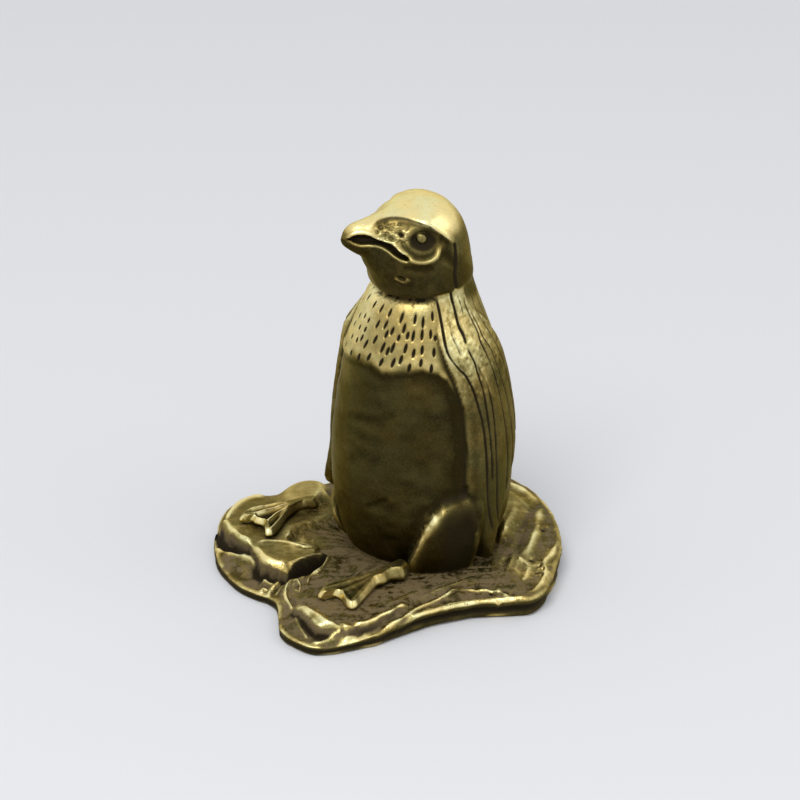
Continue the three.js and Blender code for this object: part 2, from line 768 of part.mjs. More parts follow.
function rockSkin() {
  const rim = rockRim.getPoints(rockSides).slice(0, rockSides).map((p) => p.setZ(0));
  const centre = new THREE.Vector3(...rockCentre, 0);
  const ring = (share, inset, level) =>
    rim.map((p) => {
      const out = p.clone().sub(centre);
      const reach = out.length() - inset;
      const q = out.setLength(Math.max(0.2, reach * share)).add(centre);
      q.z = level(q.x, q.y);
      return q;
    });
  const rings = [ring(1, rimUndercut, () => 0)];
  rings.push(ring(1, 0, (x, y) => rimBelly * rockTop(x, y)));
  const rimDrop = (x, y, turn) => Math.min(rimRound, rockTop(x, y) / 2) * (1 - Math.sin(turn));
  for (let step = 1; step <= rimSteps; step++) {
    const turn = (Math.PI / 2) * (step / rimSteps);
    const inset = rimRound * (1 - Math.cos(turn));
    rings.push(ring(1, inset, (x, y) => rockTop(x, y) - rimDrop(x, y, turn)));
  }
  for (let i = 1; i <= rockRings; i++)
    rings.push(ring(1 - 0.97 * (i / rockRings) ** 1.4, rimRound, rockTop));
  return skin(rings);
}

// Solids, cut to fit each other
const span = 2 * trunkHeight;
const onTheSeat = solidFrom(
  new THREE.BoxGeometry(span, span, span).translate(0, 0, seatLevel + span / 2),
);
const trunkRoom = solidFrom(trunkSkin(seatGap));
const leftThigh = [1, leftThighHeight, leftThighBearings];
const rightThigh = [-1, rightThighHeight, rightThighBearings];
const leftThighRoom = solidFrom(thighSkin(...leftThigh, seatGap));
const thighRoom = leftThighRoom.add(solidFrom(thighSkin(...rightThigh, seatGap)));
const tailBlank = solidFrom(tailWedge());

const solids = {
  trunk: solidFrom(trunkSkin()),
  head: solidFrom(headSkin()).add(eyeBall(1)).add(eyeBall(-1)),
  left_flipper: solidFrom(flipperSkin(1, leftTipLevel, leftTipOutreach, leftSwing)),
  right_flipper: solidFrom(flipperSkin(-1, rightTipLevel, rightTipOutreach, rightSwing)),
  left_thigh: solidFrom(thighSkin(...leftThigh)),
  right_thigh: solidFrom(thighSkin(...rightThigh)),
  left_foot: footSolid(leftFoot).subtract(thighRoom).subtract(trunkRoom),
  right_foot: footSolid(rightFoot).subtract(thighRoom).subtract(trunkRoom),
  tail: tailBlank.intersect(onTheSeat).subtract(trunkRoom),
};

// The rock, with a pad under each foot, the pocket between its front leaves, and the bird let into it.
const holeShape = new THREE.Shape(onRock(hole).map(([x, y]) => new THREE.Vector2(x, y)));
const seatRoom = trunkRoom.add(thighRoom).add(tailBlank).intersect(onTheSeat);
solids.rock = [leftFoot, rightFoot]
  .reduce(
    (rock, foot) =>
      rock
        .add(slab(footOutline(foot), leastRock / 2, foot.pad))
        .subtract(slab(footOutline(foot, seatGap), foot.pad, foot.pad + headroom)),
    solidFrom(rockSkin()),
  )
  .subtract(slab(holeShape, holeFloor, holeFloor + headroom))
  .subtract(seatRoom);

// The assembly
const brass = { metalness: 0.95, roughness: 0.36 };
const colours = {
  trunk: 0x8a7436,
  head: 0xa89048,
  left_flipper: 0x93803f,
  right_flipper: 0x93803f,
  left_thigh: 0x7a662e,
  right_thigh: 0x7a662e,
  tail: 0x8f7c3c,
  left_foot: 0xa38c45,
  right_foot: 0xa38c45,
  rock: 0x6e5a36,
};

const middle = boxOf(rockRim).getCenter(new THREE.Vector3());
const casting = new THREE.Group();
casting.position.set(-middle.x, -middle.y, 0);
for (const [name, solid] of Object.entries(solids)) {
  const mesh = new THREE.Mesh(
    geometryFrom(solid),
    new THREE.MeshStandardMaterial({ color: colours[name], ...brass }),
  );
  mesh.name = name;
  casting.add(mesh);
}

const penguin = new THREE.Group();
penguin.add(casting);

export default penguin;
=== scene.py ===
import math
import bpy
import numpy as np
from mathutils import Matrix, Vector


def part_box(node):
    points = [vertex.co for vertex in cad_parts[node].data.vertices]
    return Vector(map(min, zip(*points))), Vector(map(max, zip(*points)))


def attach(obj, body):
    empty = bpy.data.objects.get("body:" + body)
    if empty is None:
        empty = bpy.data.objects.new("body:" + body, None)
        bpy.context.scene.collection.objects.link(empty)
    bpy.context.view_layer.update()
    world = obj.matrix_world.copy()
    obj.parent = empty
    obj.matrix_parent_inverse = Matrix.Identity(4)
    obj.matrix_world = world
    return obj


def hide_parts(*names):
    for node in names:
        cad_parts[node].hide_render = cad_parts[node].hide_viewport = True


# Cast brass penguin on a ledge of folded rock. The bird is one long loft, from its seat to the beak's tip,
# that relief is carved into; the rock is a height over its outline. All shapes are worked out in
# millimetres round the bird's own axis and written in metres in the frame's place.

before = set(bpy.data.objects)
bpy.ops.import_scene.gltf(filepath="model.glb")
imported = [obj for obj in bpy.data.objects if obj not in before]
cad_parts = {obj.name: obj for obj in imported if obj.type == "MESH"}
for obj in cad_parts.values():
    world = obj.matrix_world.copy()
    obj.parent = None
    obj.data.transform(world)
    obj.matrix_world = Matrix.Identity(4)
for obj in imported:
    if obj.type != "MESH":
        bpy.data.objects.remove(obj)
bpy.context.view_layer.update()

mm = 0.001
trunkLow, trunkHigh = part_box("trunk")
birdAxis = np.array([(trunkLow.x + trunkHigh.x) / 2, (trunkLow.y + trunkHigh.y) / 2, 0])


def smoothStep(low, high, value):
    # 3t^2 - 2t^3, where t is how far the value is on its way from low to high.
    t = np.clip((value - low) / (high - low), 0, 1)
    return t * t * (3 - 2 * t)


def bell(distance, width):
    # e to the minus square of distance / width: 1 in the middle, 0.37 one width away.
    return np.exp(-((distance / width) ** 2))


def roundEdge(inside, nose):
    # A quarter circle, from 0 at the edge to 1 one nose further in.
    t = np.clip(inside / nose, 0, 1)
    return np.sqrt(1 - (1 - t) ** 2)


def readTable(rows, at):
    # Rows joined by a smooth curve, read at any row number: half of
    # 2b + (c - a)t + (2a - 5b + 4c - d)t^2 + (3b - a - 3c + d)t^3, where a to d are four rows in a line.
    rows = np.asarray(rows, float)
    last = len(rows) - 1
    at = np.clip(np.asarray(at, float), 0, last)
    i = np.minimum(np.floor(at).astype(int), last - 1)
    t = (at - i)[..., None]
    a, b, c, d = rows[np.maximum(i - 1, 0)], rows[i], rows[i + 1], rows[np.minimum(i + 2, last)]
    made = 2 * b + (c - a) * t + (2 * a - 5 * b + 4 * c - d) * t**2 + (3 * b - a - 3 * c + d) * t**3
    return np.moveaxis(made / 2, -1, 0)


def smoothLine(points, steps=4):
    # The same curve as points, with this many steps from each given point to the next.
    return np.stack(readTable(points, np.linspace(0, len(points) - 1, (len(points) - 1) * steps + 1)), -1)


def lineDistance(u, v, line, margin=4.0, closed=False):
    # The least distance from each place to the line's pieces, how far along the line that is from 0 to 1,
    # and the side: 1 on the line's left, -1 on its right. Past the margin round it the distance is 99.
    line = np.asarray(line, float)
    ends = np.roll(line, -1, axis=0) if closed else line[1:]
    starts = line if closed else line[:-1]
    lengths = np.maximum(np.hypot(*(ends - starts).T), 1e-9)
    before = np.concatenate([[0], np.cumsum(lengths)])
    least, along, side = np.full(np.shape(u), 99.0), np.zeros(np.shape(u)), np.ones(np.shape(u))
    low, high = line.min(axis=0) - margin, line.max(axis=0) + margin
    near = (u > low[0]) & (u < high[0]) & (v > low[1]) & (v < high[1])
    nu, nv = u[near], v[near]
    best, bestAlong, bestSide = least[near], along[near], side[near]
    for (au, av), (bu, bv), length, start in zip(starts, ends, lengths, before):
        du, dv = (bu - au) / length, (bv - av) / length
        t = np.clip((nu - au) * du + (nv - av) * dv, 0, length)
        away = np.hypot(nu - au - t * du, nv - av - t * dv)
        nearer = away < best
        best = np.where(nearer, away, best)
        bestAlong = np.where(nearer, (start + t) / before[-1], bestAlong)
        bestSide = np.where(nearer, np.where(du * (nv - av) - dv * (nu - au) >= 0, 1, -1), bestSide)
    least[near], along[near], side[near] = best, bestAlong, bestSide
    return least, along, side


def insideLine(u, v, line):
    # True where a ray to the right crosses the closed line an odd number of times.
    line = np.asarray(line, float)
    inside = np.zeros(np.shape(u), bool)
    for (au, av), (bu, bv) in zip(line, np.roll(line, -1, axis=0)):
        if av != bv:
            inside ^= ((av > v) != (bv > v)) & (u < au + (v - av) * (bu - au) / (bv - av))
    return inside


def lumps(points, size, seed):
    # Random numbers from -1 to 1 on a cubic lattice of the given cell, blended by 3t^2 - 2t^3 in each cell.
    lattice = np.random.default_rng(seed).uniform(-1, 1, (24, 24, 24))
    cell = np.floor(points / size).astype(int)
    t = points / size - cell
    t = t * t * (3 - 2 * t)
    total = np.zeros(points.shape[:-1])
    for corner in range(8):
        step = np.array([corner & 1, corner >> 1 & 1, corner >> 2 & 1])
        weight = np.prod(np.where(step, t, 1 - t), axis=-1)
        i = (cell + step) % 24
        total += weight * lattice[i[..., 0], i[..., 1], i[..., 2]]
    return total


def normalsOf(points):
    # On a grid whose rows close round: the cross product of its two ways, each the difference of a point's
    # neighbours.
    along = np.gradient(points, axis=0)
    around = np.roll(points, -1, axis=1) - np.roll(points, 1, axis=1)
    normal = np.cross(around, along)
    return normal / np.maximum(np.linalg.norm(normal, axis=-1, keepdims=True), 1e-12)


def blurOn(points, values, radius):
    # A bell blur over the grid: round each row by its Fourier terms, and from row to row by weights, with
    # the distances taken from the points.
    around = np.linalg.norm(np.roll(points, -1, axis=1) - points, axis=-1)
    spacing = np.maximum(around.mean(axis=1), 1e-4)
    waves = np.fft.rfftfreq(values.shape[1])
    spread = (radius / spacing)[:, None] * waves[None, :] * 2 * np.pi
    kept = np.exp(-(spread**2) / 4)
    rowBlurred = np.fft.irfft(np.fft.rfft(values, axis=1) * kept, values.shape[1], axis=1)
    steps = np.linalg.norm(np.diff(points, axis=0), axis=-1).mean(axis=1)
    place = np.concatenate([[0], np.cumsum(steps)])
    weight = np.exp(-(((place[:, None] - place[None, :]) / radius) ** 2)) * np.gradient(place)[None, :]
    return (weight / weight.sum(axis=1, keepdims=True)) @ rowBlurred


def closedPiece(name, points, paints):
    # The grid's faces, four corners each, and a fan to the mean point at either end; figure millimetres
    # become frame metres.
    rows, columns = points.shape[:2]
    ends = np.stack([points[0].mean(axis=0), points[-1].mean(axis=0)])
    vertices = (np.concatenate([points.reshape(-1, 3), ends]) + birdAxis / mm) * mm
    number = np.arange(rows * columns).reshape(rows, columns)
    nextColumn = np.roll(number, -1, axis=1)
    quads = np.stack([number[:-1], nextColumn[:-1], nextColumn[1:], number[1:]], -1).reshape(-1, 4)
    low = np.stack([np.full(columns, rows * columns), nextColumn[0], number[0]], -1)
    high = np.stack([np.full(columns, rows * columns + 1), number[-1], nextColumn[-1]], -1)
    corners = np.concatenate([quads.ravel(), low.ravel(), high.ravel()])
    counts = np.concatenate([np.full(len(quads), 4), np.full(2 * columns, 3)])
    mesh = bpy.data.meshes.new(name)
    mesh.vertices.add(len(vertices))
    mesh.vertices.foreach_set("co", vertices.ravel())
    mesh.loops.add(len(corners))
    mesh.loops.foreach_set("vertex_index", corners.astype(np.int32))
    mesh.polygons.add(len(counts))
    mesh.polygons.foreach_set("loop_start", (np.cumsum(counts) - counts).astype(np.int32))
    mesh.update(calc_edges=True)
    mesh.validate()
    mesh.polygons.foreach_set("use_smooth", np.ones(len(mesh.polygons), bool))
    for paint, values in paints.items():
        layer = mesh.attributes.new(paint, "FLOAT", "POINT")
        ends = [values[0].mean(), values[-1].mean()]
        layer.data.foreach_set("value", np.concatenate([values.ravel(), ends]).astype(np.float32))
    piece = bpy.data.objects.new(name, mesh)
    bpy.context.scene.collection.objects.link(piece)
    if signedVolume(points) < 0:
        mesh.flip_normals()
    return piece


def signedVolume(points):
    # A sixth of the sum of each face's corner triple products, for the sign alone.
    a, b = points[:-1], np.roll(points, -1, axis=1)[:-1]
    c, d = np.roll(points, -1, axis=1)[1:], points[1:]
    centre = points.mean(axis=(0, 1))
    a, b, c, d = a - centre, b - centre, c - centre, d - centre
    return (np.sum(a * np.cross(b, c)) + np.sum(a * np.cross(c, d))) / 6


# The bird's loft. Each row: the back or crown line (backwards, up), the front or throat line
# (forwards, up), the half width, and how much fuller the section is towards the crown.
loftRows = [
    (-6.2, 1.0, 5.6, 1.0, 6.1, 0),  # buried in the rock
    (-7.2, 2.3, 6.73, 2.3, 7.11, 0),
    (-8.32, 4.2, 8.04, 4.2, 8.23, 0),
    (-9.16, 7.26, 9.02, 7.26, 9.07, 0),
    (-9.35, 11.35, 9.35, 11.35, 9.35, 0),
    (-9.21, 15.44, 9.12, 15.44, 9.26, 0),
    (-8.70, 19.53, 8.60, 19.53, 8.70, 0),
    (-7.85, 23.62, 7.85, 23.62, 7.76, 0),
    (-6.73, 27.12, 6.83, 27.12, 6.54, 0),
    (-5.84, 29.75, 5.61, 29.75, 5.56, 0),
    (-5.3, 31.5, 4.5, 31.5, 4.95, 0),  # neck
    (-5.2, 32.7, 4.95, 31.85, 5.15, 0),
    (-5.0, 34.1, 5.3, 32.6, 5.15, 0),
    (-4.75, 35.6, 5.65, 33.4, 5.05, 0.02),
    (-4.4, 37.0, 5.95, 34.0, 4.9, 0.06),
    (-3.8, 38.45, 6.15, 34.5, 4.7, 0.12),
    (-2.5, 39.8, 6.3, 34.9, 4.35, 0.2),
    (-0.7, 40.5, 6.45, 35.1, 3.8, 0.28),
    (1.15, 40.15, 6.6, 35.25, 3.15, 0.3),
    (2.85, 39.55, 6.8, 35.4, 2.45, 0.22),
    (4.4, 39.2, 7.05, 35.55, 1.95, 0.1),
    (5.7, 39.0, 7.4, 35.8, 1.5, 0),
    (6.95, 38.8, 7.85, 36.15, 1.1, 0),
    (7.9, 38.25, 8.3, 36.6, 0.65, 0),
    (8.42, 37.5, 8.5, 37.0, 0.25, 0),  # the beak's tip
]
neckRow = 10
headTurn = 25  # degrees to the bird's right
denseRows = np.linspace(0, neckRow, 2001)
denseLoft = readTable(loftRows, denseRows)


def loftShape(row, turn):
    # forward and up are mixed from back to front by (1 + cos turn) / 2, across is the half width times
    # sin turn (1 - fuller cos turn); the head comes round by its turn over its first four rows.
    back, backUp, front, frontUp, width, fuller = readTable(loftRows, row)
    share = (1 + np.cos(turn)) / 2
    forward = back + (front - back) * share
    up = backUp + (frontUp - backUp) * share
    across = width * np.sin(turn) * (1 - fuller * np.cos(turn))
    angle = -np.radians(headTurn) * smoothStep(0, 4, row - neckRow)
    x = across * np.cos(angle) + forward * np.sin(angle)
    y = across * np.sin(angle) - forward * np.cos(angle)
    return np.stack([x, y, up], -1), forward, up, across


def rowAt(level):
    # The row of the loft at which the back is at this level.
    return np.interp(level, denseLoft[1], denseRows)


def trunkReach(bearing, level):
    # How far the trunk reaches from its axis: the r for which
    # (r sin / width)^2 + ((r cos - middle) / half)^2 is 1.
    back, _, front, _, width, _ = readTable(loftRows, rowAt(level))
    half, middle = (front - back) / 2, (front + back) / 2
    c, s = np.cos(np.radians(bearing)), np.sin(np.radians(bearing))
    a = (s / width) ** 2 + (c / half) ** 2
    b = -2 * c * middle / half**2
    k = (middle / half) ** 2 - 1
    return (-b + np.sqrt(b * b - 4 * a * k)) / (2 * a)


# What stands on the trunk and is cut into it.
trunkLook = {
    "flipperThickness": 0.95,
    "flipperNose": 0.75,  # how wide its leading edge rounds over
    "hangLevel": 11.5,  # the flippers hang free below this
    "rightFlare": 1.9,
    "leftFlare": 0.5,
    "thighStand": 1.5,
    "bellySunk": 0.3,
    "creaseDepth": 0.07,
    "chestRim": 0.1,  # the soft rim above the chest's lower edge
    "seatSwell": 0.55,  # where it meets the rock
    "engraveRadius": 7.2,  # the engraving is laid out on one ring of this size
    "grooveDepth": 0.2,
    "grooveWidth": 0.105,
    "strokeWidth": 0.155,
    "tailLength": 4.9,
}

# Each row: level, leading edge, trailing edge, in degrees from straight ahead.
leftFlipperEdges = [
    (30.0, 60, 100), (28.4, 57, 116), (27.3, 58, 124), (25.8, 61, 128), (24.9, 63, 130),
    (23.9, 66, 131), (21.9, 69.5, 131), (20.3, 71, 130), (18.0, 71, 128), (16.0, 70.5, 125),
    (13.0, 70, 117), (10.9, 71, 109), (9.3, 72.5, 103), (7.6, 74.5, 98), (5.6, 77.5, 93),
    (4.2, 81, 89.5), (3.1, 84, 86),
]
rightFlipperEdges = [
    (30.0, 60, 100), (28.4, 57, 116), (27.3, 58, 124), (25.8, 61, 128), (24.9, 63, 130), (23.9, 66, 131),
    (21.9, 70, 130), (20.3, 71, 129), (18.8, 72, 127), (16.0, 72, 124), (13.0, 71, 119), (10.9, 70, 114),
    (9.3, 69, 108), (7.6, 70, 100), (6.2, 73, 93), (5.2, 77, 87), (4.6, 80, 83),
]


def edgesAt(edges, level):
    # The leading and the trailing edge at this level, on straight lines between the rows.
    edges = np.array(sorted(edges))
    return np.interp(level, edges[:, 0], edges[:, 1]), np.interp(level, edges[:, 0], edges[:, 2])


def flipperRise(bearing, level, edges, flare):
    # Thickness, rounded off at both edges and thinner towards the trailing one; below the hanging level the
    # face keeps the reach it has there, and swings out by the flare times the square of the way down.
    look = trunkLook
    tip = min(row[0] for row in edges)
    lead, trail = edgesAt(edges, level)
    reach = trunkReach(bearing, level)
    arc = np.radians(1) * reach
    fromLead, fromTrail = (bearing - lead) * arc, (trail - bearing) * arc
    shoulder = smoothStep(29.8, 25.2, level)
    thinning = 1 - 0.45 * np.clip((bearing - lead) / (trail - lead), 0, 1)
    thick = look["flipperThickness"] * shoulder * thinning
    hang = np.clip((look["hangLevel"] - level) / (look["hangLevel"] - tip), 0, 1)
    face = trunkReach(bearing, np.maximum(level, look["hangLevel"])) - reach + flare * hang**2
    over = roundEdge(fromLead, look["flipperNose"]) * roundEdge(fromTrail, 0.5)
    over = over * smoothStep(tip - 0.3, tip + 0.5, level)
    return (thick + face) * over, fromLead, over


# The upper edge of a thigh as (bearing, level).
leftThighEdge = [(29, 2.0), (31, 3.0), (34, 4.0), (37, 5.8), (40.5, 7.6), (44, 9.0), (48, 10.1),
                 (54, 10.9), (62, 11.3), (70, 11.5)]
rightThighEdge = [(40, 2.0), (44, 4.2), (48, 5.9), (54, 7.0), (60, 7.4), (68, 7.6)]


def thighRise(bearing, level, edge, stand, keen):
    # It stands out by a quarter circle of the way in under its upper edge, as far as it is keen, else by a
    # soft slope, and falls back towards its rear.
    first, last = edge[0][0], edge[-1][0]
    top = np.interp(bearing, *np.array(edge).T)
    inside = np.minimum(top - level, (bearing - first) * 0.14 + 0.25)
    rear = smoothStep(last + 17, last + 6, bearing)
    rise = keen * roundEdge(inside, 1.5) + (1 - keen) * smoothStep(-0.2, 2.0, inside)
    rise = rise * rear * smoothStep(0.8, 2.2, level)
    return stand * rise, np.where((bearing > first - 2) & (bearing < last + 4), inside, -9.0)


def tailRise(bearing, level):
    # The wedge behind: how far it reaches back falls with the level, and rounds off to either side.
    down = np.clip((9.4 - level) / 6.6, 0, 1)
    back = trunkLook["tailLength"] * down**1.9
    halfTurn = 31 - 15 * down
    u = np.clip((180 - np.abs(bearing)) / halfTurn, 0, 1)
    return back * (1 - u**2.4) ** 0.8


# Engraved lines as (level, bearing), from the neck down; the other side gets the same lines turned over.
engraved = [
    (1.15, [(31.9, 60), (30.4, 62), (28.8, 62.5), (27.3, 62), (26.3, 63.5), (25.1, 69), (24.2, 74),
            (22.6, 78), (21.0, 80), (19.0, 82), (16.8, 82.5), (14.5, 83), (12.7, 83), (10.2, 84),
            (8.0, 86), (5.8, 90)]),
    (1.45, [(32.8, 80), (31.7, 80), (30.0, 80.5), (28.6, 80), (27.7, 81.5), (26.8, 80.5)]),
    (1.0, [(26.8, 80.5), (25.8, 82), (25.0, 83.5), (23.6, 84.5), (22.3, 86), (19.8, 86.5), (15.8, 87),
           (12.0, 87.5)]),
    (0.95, [(25.2, 85), (24.0, 87), (22.5, 90.5), (20.2, 92), (17.6, 91.5), (14.8, 91), (11.1, 92),
            (8.7, 92.5), (6.3, 95)]),
    (0.85, [(31.4, 99), (30.1, 96.5), (29.0, 98), (27.4, 98.5), (26.6, 96.5), (25.0, 98), (23.5, 100),
            (20.3, 101.5), (16.2, 103), (12.0, 103), (8.5, 102)]),
    (0.75, [(29.6, 101), (28.0, 103), (26.7, 102), (25.5, 105), (23.0, 107), (20.1, 110), (16.5, 111),
            (12.5, 110), (9.5, 108)]),
    (0.8, [(30.8, 112), (28.6, 112), (26.0, 115), (23.0, 118), (19.0, 120), (15.0, 120), (11.0, 116)]),
    (0.85, [(31.2, 124), (29.0, 125), (26.0, 129), (22.0, 133.5), (18.0, 134.5), (14.0, 133), (10.0, 128)]),
    (0.75, [(30.6, 136), (27.5, 140), (24.0, 143), (20.0, 145), (16.0, 145), (12.0, 143), (8.6, 139)]),
    (0.8, [(31.0, 150), (28.0, 152), (24.5, 154), (20.5, 156), (16.0, 156), (11.5, 154), (8.0, 150)]),
    (0.75, [(30.2, 164), (27.0, 166), (23.0, 167), (18.5, 168), (14.0, 168), (10.5, 167)]),
    (0.6, [(29.0, 71), (28.0, 70), (26.9, 72), (26.0, 73)]),
    (0.6, [(31.3, 89), (30.2, 90), (29.3, 89.5)]),
]

# Short strokes on the chest as (level, bearing, length).
strokes = [
    (30.1, -33, 0.9), (30.0, -16, 0.9), (30.0, -4, 1.0), (29.9, 8, 0.9), (29.7, 22, 1.1),
    (29.7, 36, 1.0), (29.4, 44, 1.2), (29.9, 54, 1.0), (28.2, -33, 0.8), (28.6, -23, 0.6),
    (28.5, -15, 0.6), (28.6, -2, 1.0), (28.8, 7, 1.0), (28.8, 26, 1.0), (28.4, 15, 0.9),
    (28.2, 35, 1.15), (28.3, 43, 1.15), (28.3, 51, 1.0), (27.1, -37, 1.0), (27.4, -24, 0.7),
    (27.6, -15, 0.7), (27.2, -0, 1.1), (28.0, 10, 0.9), (28.2, 30, 0.8), (27.9, 22, 0.7),
    (26.0, -32, 0.7), (26.2, -22, 0.7), (26.7, -16, 0.9), (26.4, -9, 1.2), (26.7, 9, 1.3),
    (26.9, 18, 1.2), (27.0, 29, 1.1), (26.9, 43, 1.0), (26.6, 53, 1.0), (24.7, -39, 0.7),
    (24.7, -24, 0.9), (24.9, -13, 1.0), (25.4, -2, 1.0), (25.3, 10, 1.0), (26.5, 14, 1.0),
    (25.9, 26, 1.0), (26.6, 36, 1.0), (25.5, 20, 1.1), (25.2, 33, 1.0), (25.7, 42, 0.9),
    (25.1, 50, 1.0), (27.9, 55, 0.6), (29.3, -46, 1.0), (28.2, -52, 1.1), (27.0, -48, 0.9),
    (26.4, -56, 0.9), (25.4, -50, 0.8), (30.1, -52, 0.8),
]


# The belly's creases: half width, and the line as (a sixth of the bearing, level).
bellyCreases = [
    (0.55, smoothLine([(-2.4, 18.6), (0, 19.1), (2, 19.6), (3.6, 20.2)])),
    (0.8, smoothLine([(-1.2, 14.6), (0.2, 15.2), (1.6, 14.9)])),
    (0.35, [(1.0, 9.6), (2.2, 10.3), (3.2, 10.9)]),
]


def radialArc(bearing):
    return np.radians(bearing) * trunkLook["engraveRadius"]


def strengthAlong(along, steps):
    # How hard the graver was pressed along a line: the steps joined up, fading out at both ends.
    pressed = np.interp(along, np.linspace(0, 1, len(steps)), steps)
    return pressed * smoothStep(0, 0.05, along) * smoothStep(1, 0.93, along)


def engrave(arc, level):
    # How deep the graver went, from 0 to 1: a bell across each line, and a lens along each stroke.
    look = trunkLook
    ink = np.zeros(np.shape(level))
    for number, (weight, points) in enumerate(engraved):
        line = smoothLine([(radialArc(b), z) for z, b in points])
        steps = np.random.default_rng(40 + number).uniform(0.55, 1.15, 14)
        for side in (1, -1):
            away, along, _ = lineDistance(arc * side, level, line)
            width = look["grooveWidth"] * (0.45 + 0.75 * weight) * (0.8 + 0.5 * smoothStep(24, 30, level))
            ink = np.maximum(ink, bell(away, width) * strengthAlong(along, steps) * min(weight, 1.15))
    for z, b, length in strokes:
        lean = math.radians(9 + 10 * math.cos(math.radians(b + 25)) - 0.1 * b)
        u, v = arc - radialArc(b), level - z
        alongStroke = u * math.sin(lean) + v * math.cos(lean)
        across = u * math.cos(lean) - v * math.sin(lean)
        body = np.clip(1 - (alongStroke / (length * 0.52)) ** 2, 0, 1)
        width = look["strokeWidth"] * np.sqrt(body) + 0.02
        ink = np.maximum(ink, 1.1 * np.sqrt(body) * bell(across, width))
    return ink


# The lower edge of the bright chest, as (bearing, level).
chestEdge = [(-75, 20.5), (-66, 22.4), (-55, 23.6), (-34, 24.0), (-10, 24.8), (1, 24.9), (12, 24.4),
             (31, 24.9), (43, 25.1), (55, 24.6), (62, 23.8), (68, 22.2), (75, 20.0)]


def trunkRelief(points):
    # The big forms stand out level: whichever of flipper, thigh and tail reaches furthest, and a swell at
    # the seat that falls by e to the minus height / 0.45. The soft ones follow the normals: the belly sunk
    # below the chest's edge, with hammer marks and creases, and a bell-shaped rim above that edge.
    look = trunkLook
    level = points[..., 2]
    bearing = np.degrees(np.arctan2(points[..., 0], -points[..., 1]))
    onLeft = bearing > 0
    leftRise, leftLead, leftOver = flipperRise(bearing, level, leftFlipperEdges, look["leftFlare"])
    rightRise, rightLead, rightOver = flipperRise(-bearing, level, rightFlipperEdges, look["rightFlare"])
    leftThigh, leftOut = thighRise(bearing, level, leftThighEdge, look["thighStand"], 0.8)
    rightThigh, rightOut = thighRise(-bearing, level, rightThighEdge, 0.6 * look["thighStand"], 0)
    thighOut = np.where(onLeft, leftOut, rightOut - 0.6)
    flippers = np.where(onLeft, leftRise, rightRise)
    thighs = np.maximum(leftThigh, rightThigh)
    seat = look["seatSwell"] * np.exp(-np.clip(level - 2.5, 0, None) / 0.45) * smoothStep(9.5, 7.0, level)
    big = np.maximum(np.maximum(flippers, thighs), tailRise(bearing, level)) + seat

    edge = np.interp(bearing, *np.array(chestEdge).T)
    lead = np.where(onLeft, leftLead, rightLead)
    panel = smoothStep(0.3, -0.7, level - edge) * smoothStep(0.2, -0.9, lead)  # 1 on the belly
    stretched = points * np.array([1, 1, 1.7])
    hammered = 0.09 * lumps(stretched, 3.4, 3) + 0.05 * lumps(stretched, 1.7, 4)
    creases = 0
    for width, line in bellyCreases:
        creases = creases - look["creaseDepth"] * bell(lineDistance(bearing / 6, level, line)[0], width)
    belly = -look["bellySunk"] * panel * smoothStep(3.0, 8.0, level) + panel * (hammered + creases)
    chestRim = look["chestRim"] * bell(level - edge - 0.55, 0.6) * smoothStep(0, -1.0, lead)
    return {
        "bearing": bearing, "level": level, "big": big, "soft": belly + chestRim, "panel": panel,
        "over": np.where(onLeft, leftOver, rightOver), "lead": lead, "thighOut": thighOut, "edge": edge,
    }


# What is modelled on the head.
headLook = {
    "eye": (1.67, 37.95),  # forwards, up
    "eyeRadius": 0.62,
    "socket": (1.55, 37.75),
    "socketDepth": 0.4,
    "lidRise": 0.25,
    "browStep": 0.34,
    "bowlDepth": 0.16,  # between the eye and the lid
    "mouthDepth": 0.6,
    "lipRise": 0.16,
    "lorePit": (3.55, 38.3),
    "napeDepth": 0.22,
    "jowlRise": 0.2,
    "creaseDepth": 0.32,
}

# Lines on the side of the head as (forwards, up).
brow = [(5.9, 38.5), (5.45, 38.8), (5.0, 39.0), (4.4, 39.14), (3.2, 39.3), (2.35, 39.38),
        (1.55, 39.28), (0.7, 38.95), (-0.4, 38.05), (-1.2, 37.3), (-1.8, 36.9)]
lid = [(4.25, 37.25), (3.75, 36.8), (3.15, 36.1), (2.5, 35.68), (1.5, 35.6), (0.5, 35.95), (0.0, 36.6),
       (-0.15, 37.25)]
mouthUpper = [(8.25, 37.5), (7.95, 37.6), (7.6, 37.83), (7.2, 37.97), (6.6, 37.98), (6.05, 37.84),
              (5.65, 37.6), (5.25, 37.4), (4.9, 37.28), (4.5, 37.16), (4.1, 36.86), (3.75, 36.55),
              (3.35, 36.3), (3.0, 36.0)]
mouthLower = [(8.25, 37.4), (7.93, 37.45), (7.6, 37.25), (6.95, 37.05), (6.25, 37.12), (5.7, 37.06),
              (5.2, 36.9), (4.7, 36.6), (4.3, 36.25), (3.8, 35.92), (3.3, 35.76), (3.0, 35.8)]

napeLine = [(-1.75, 37.1), (-1.86, 36.0), (-1.4, 34.7), (-0.66, 33.7), (-0.05, 32.6), (0.3, 31.9)]


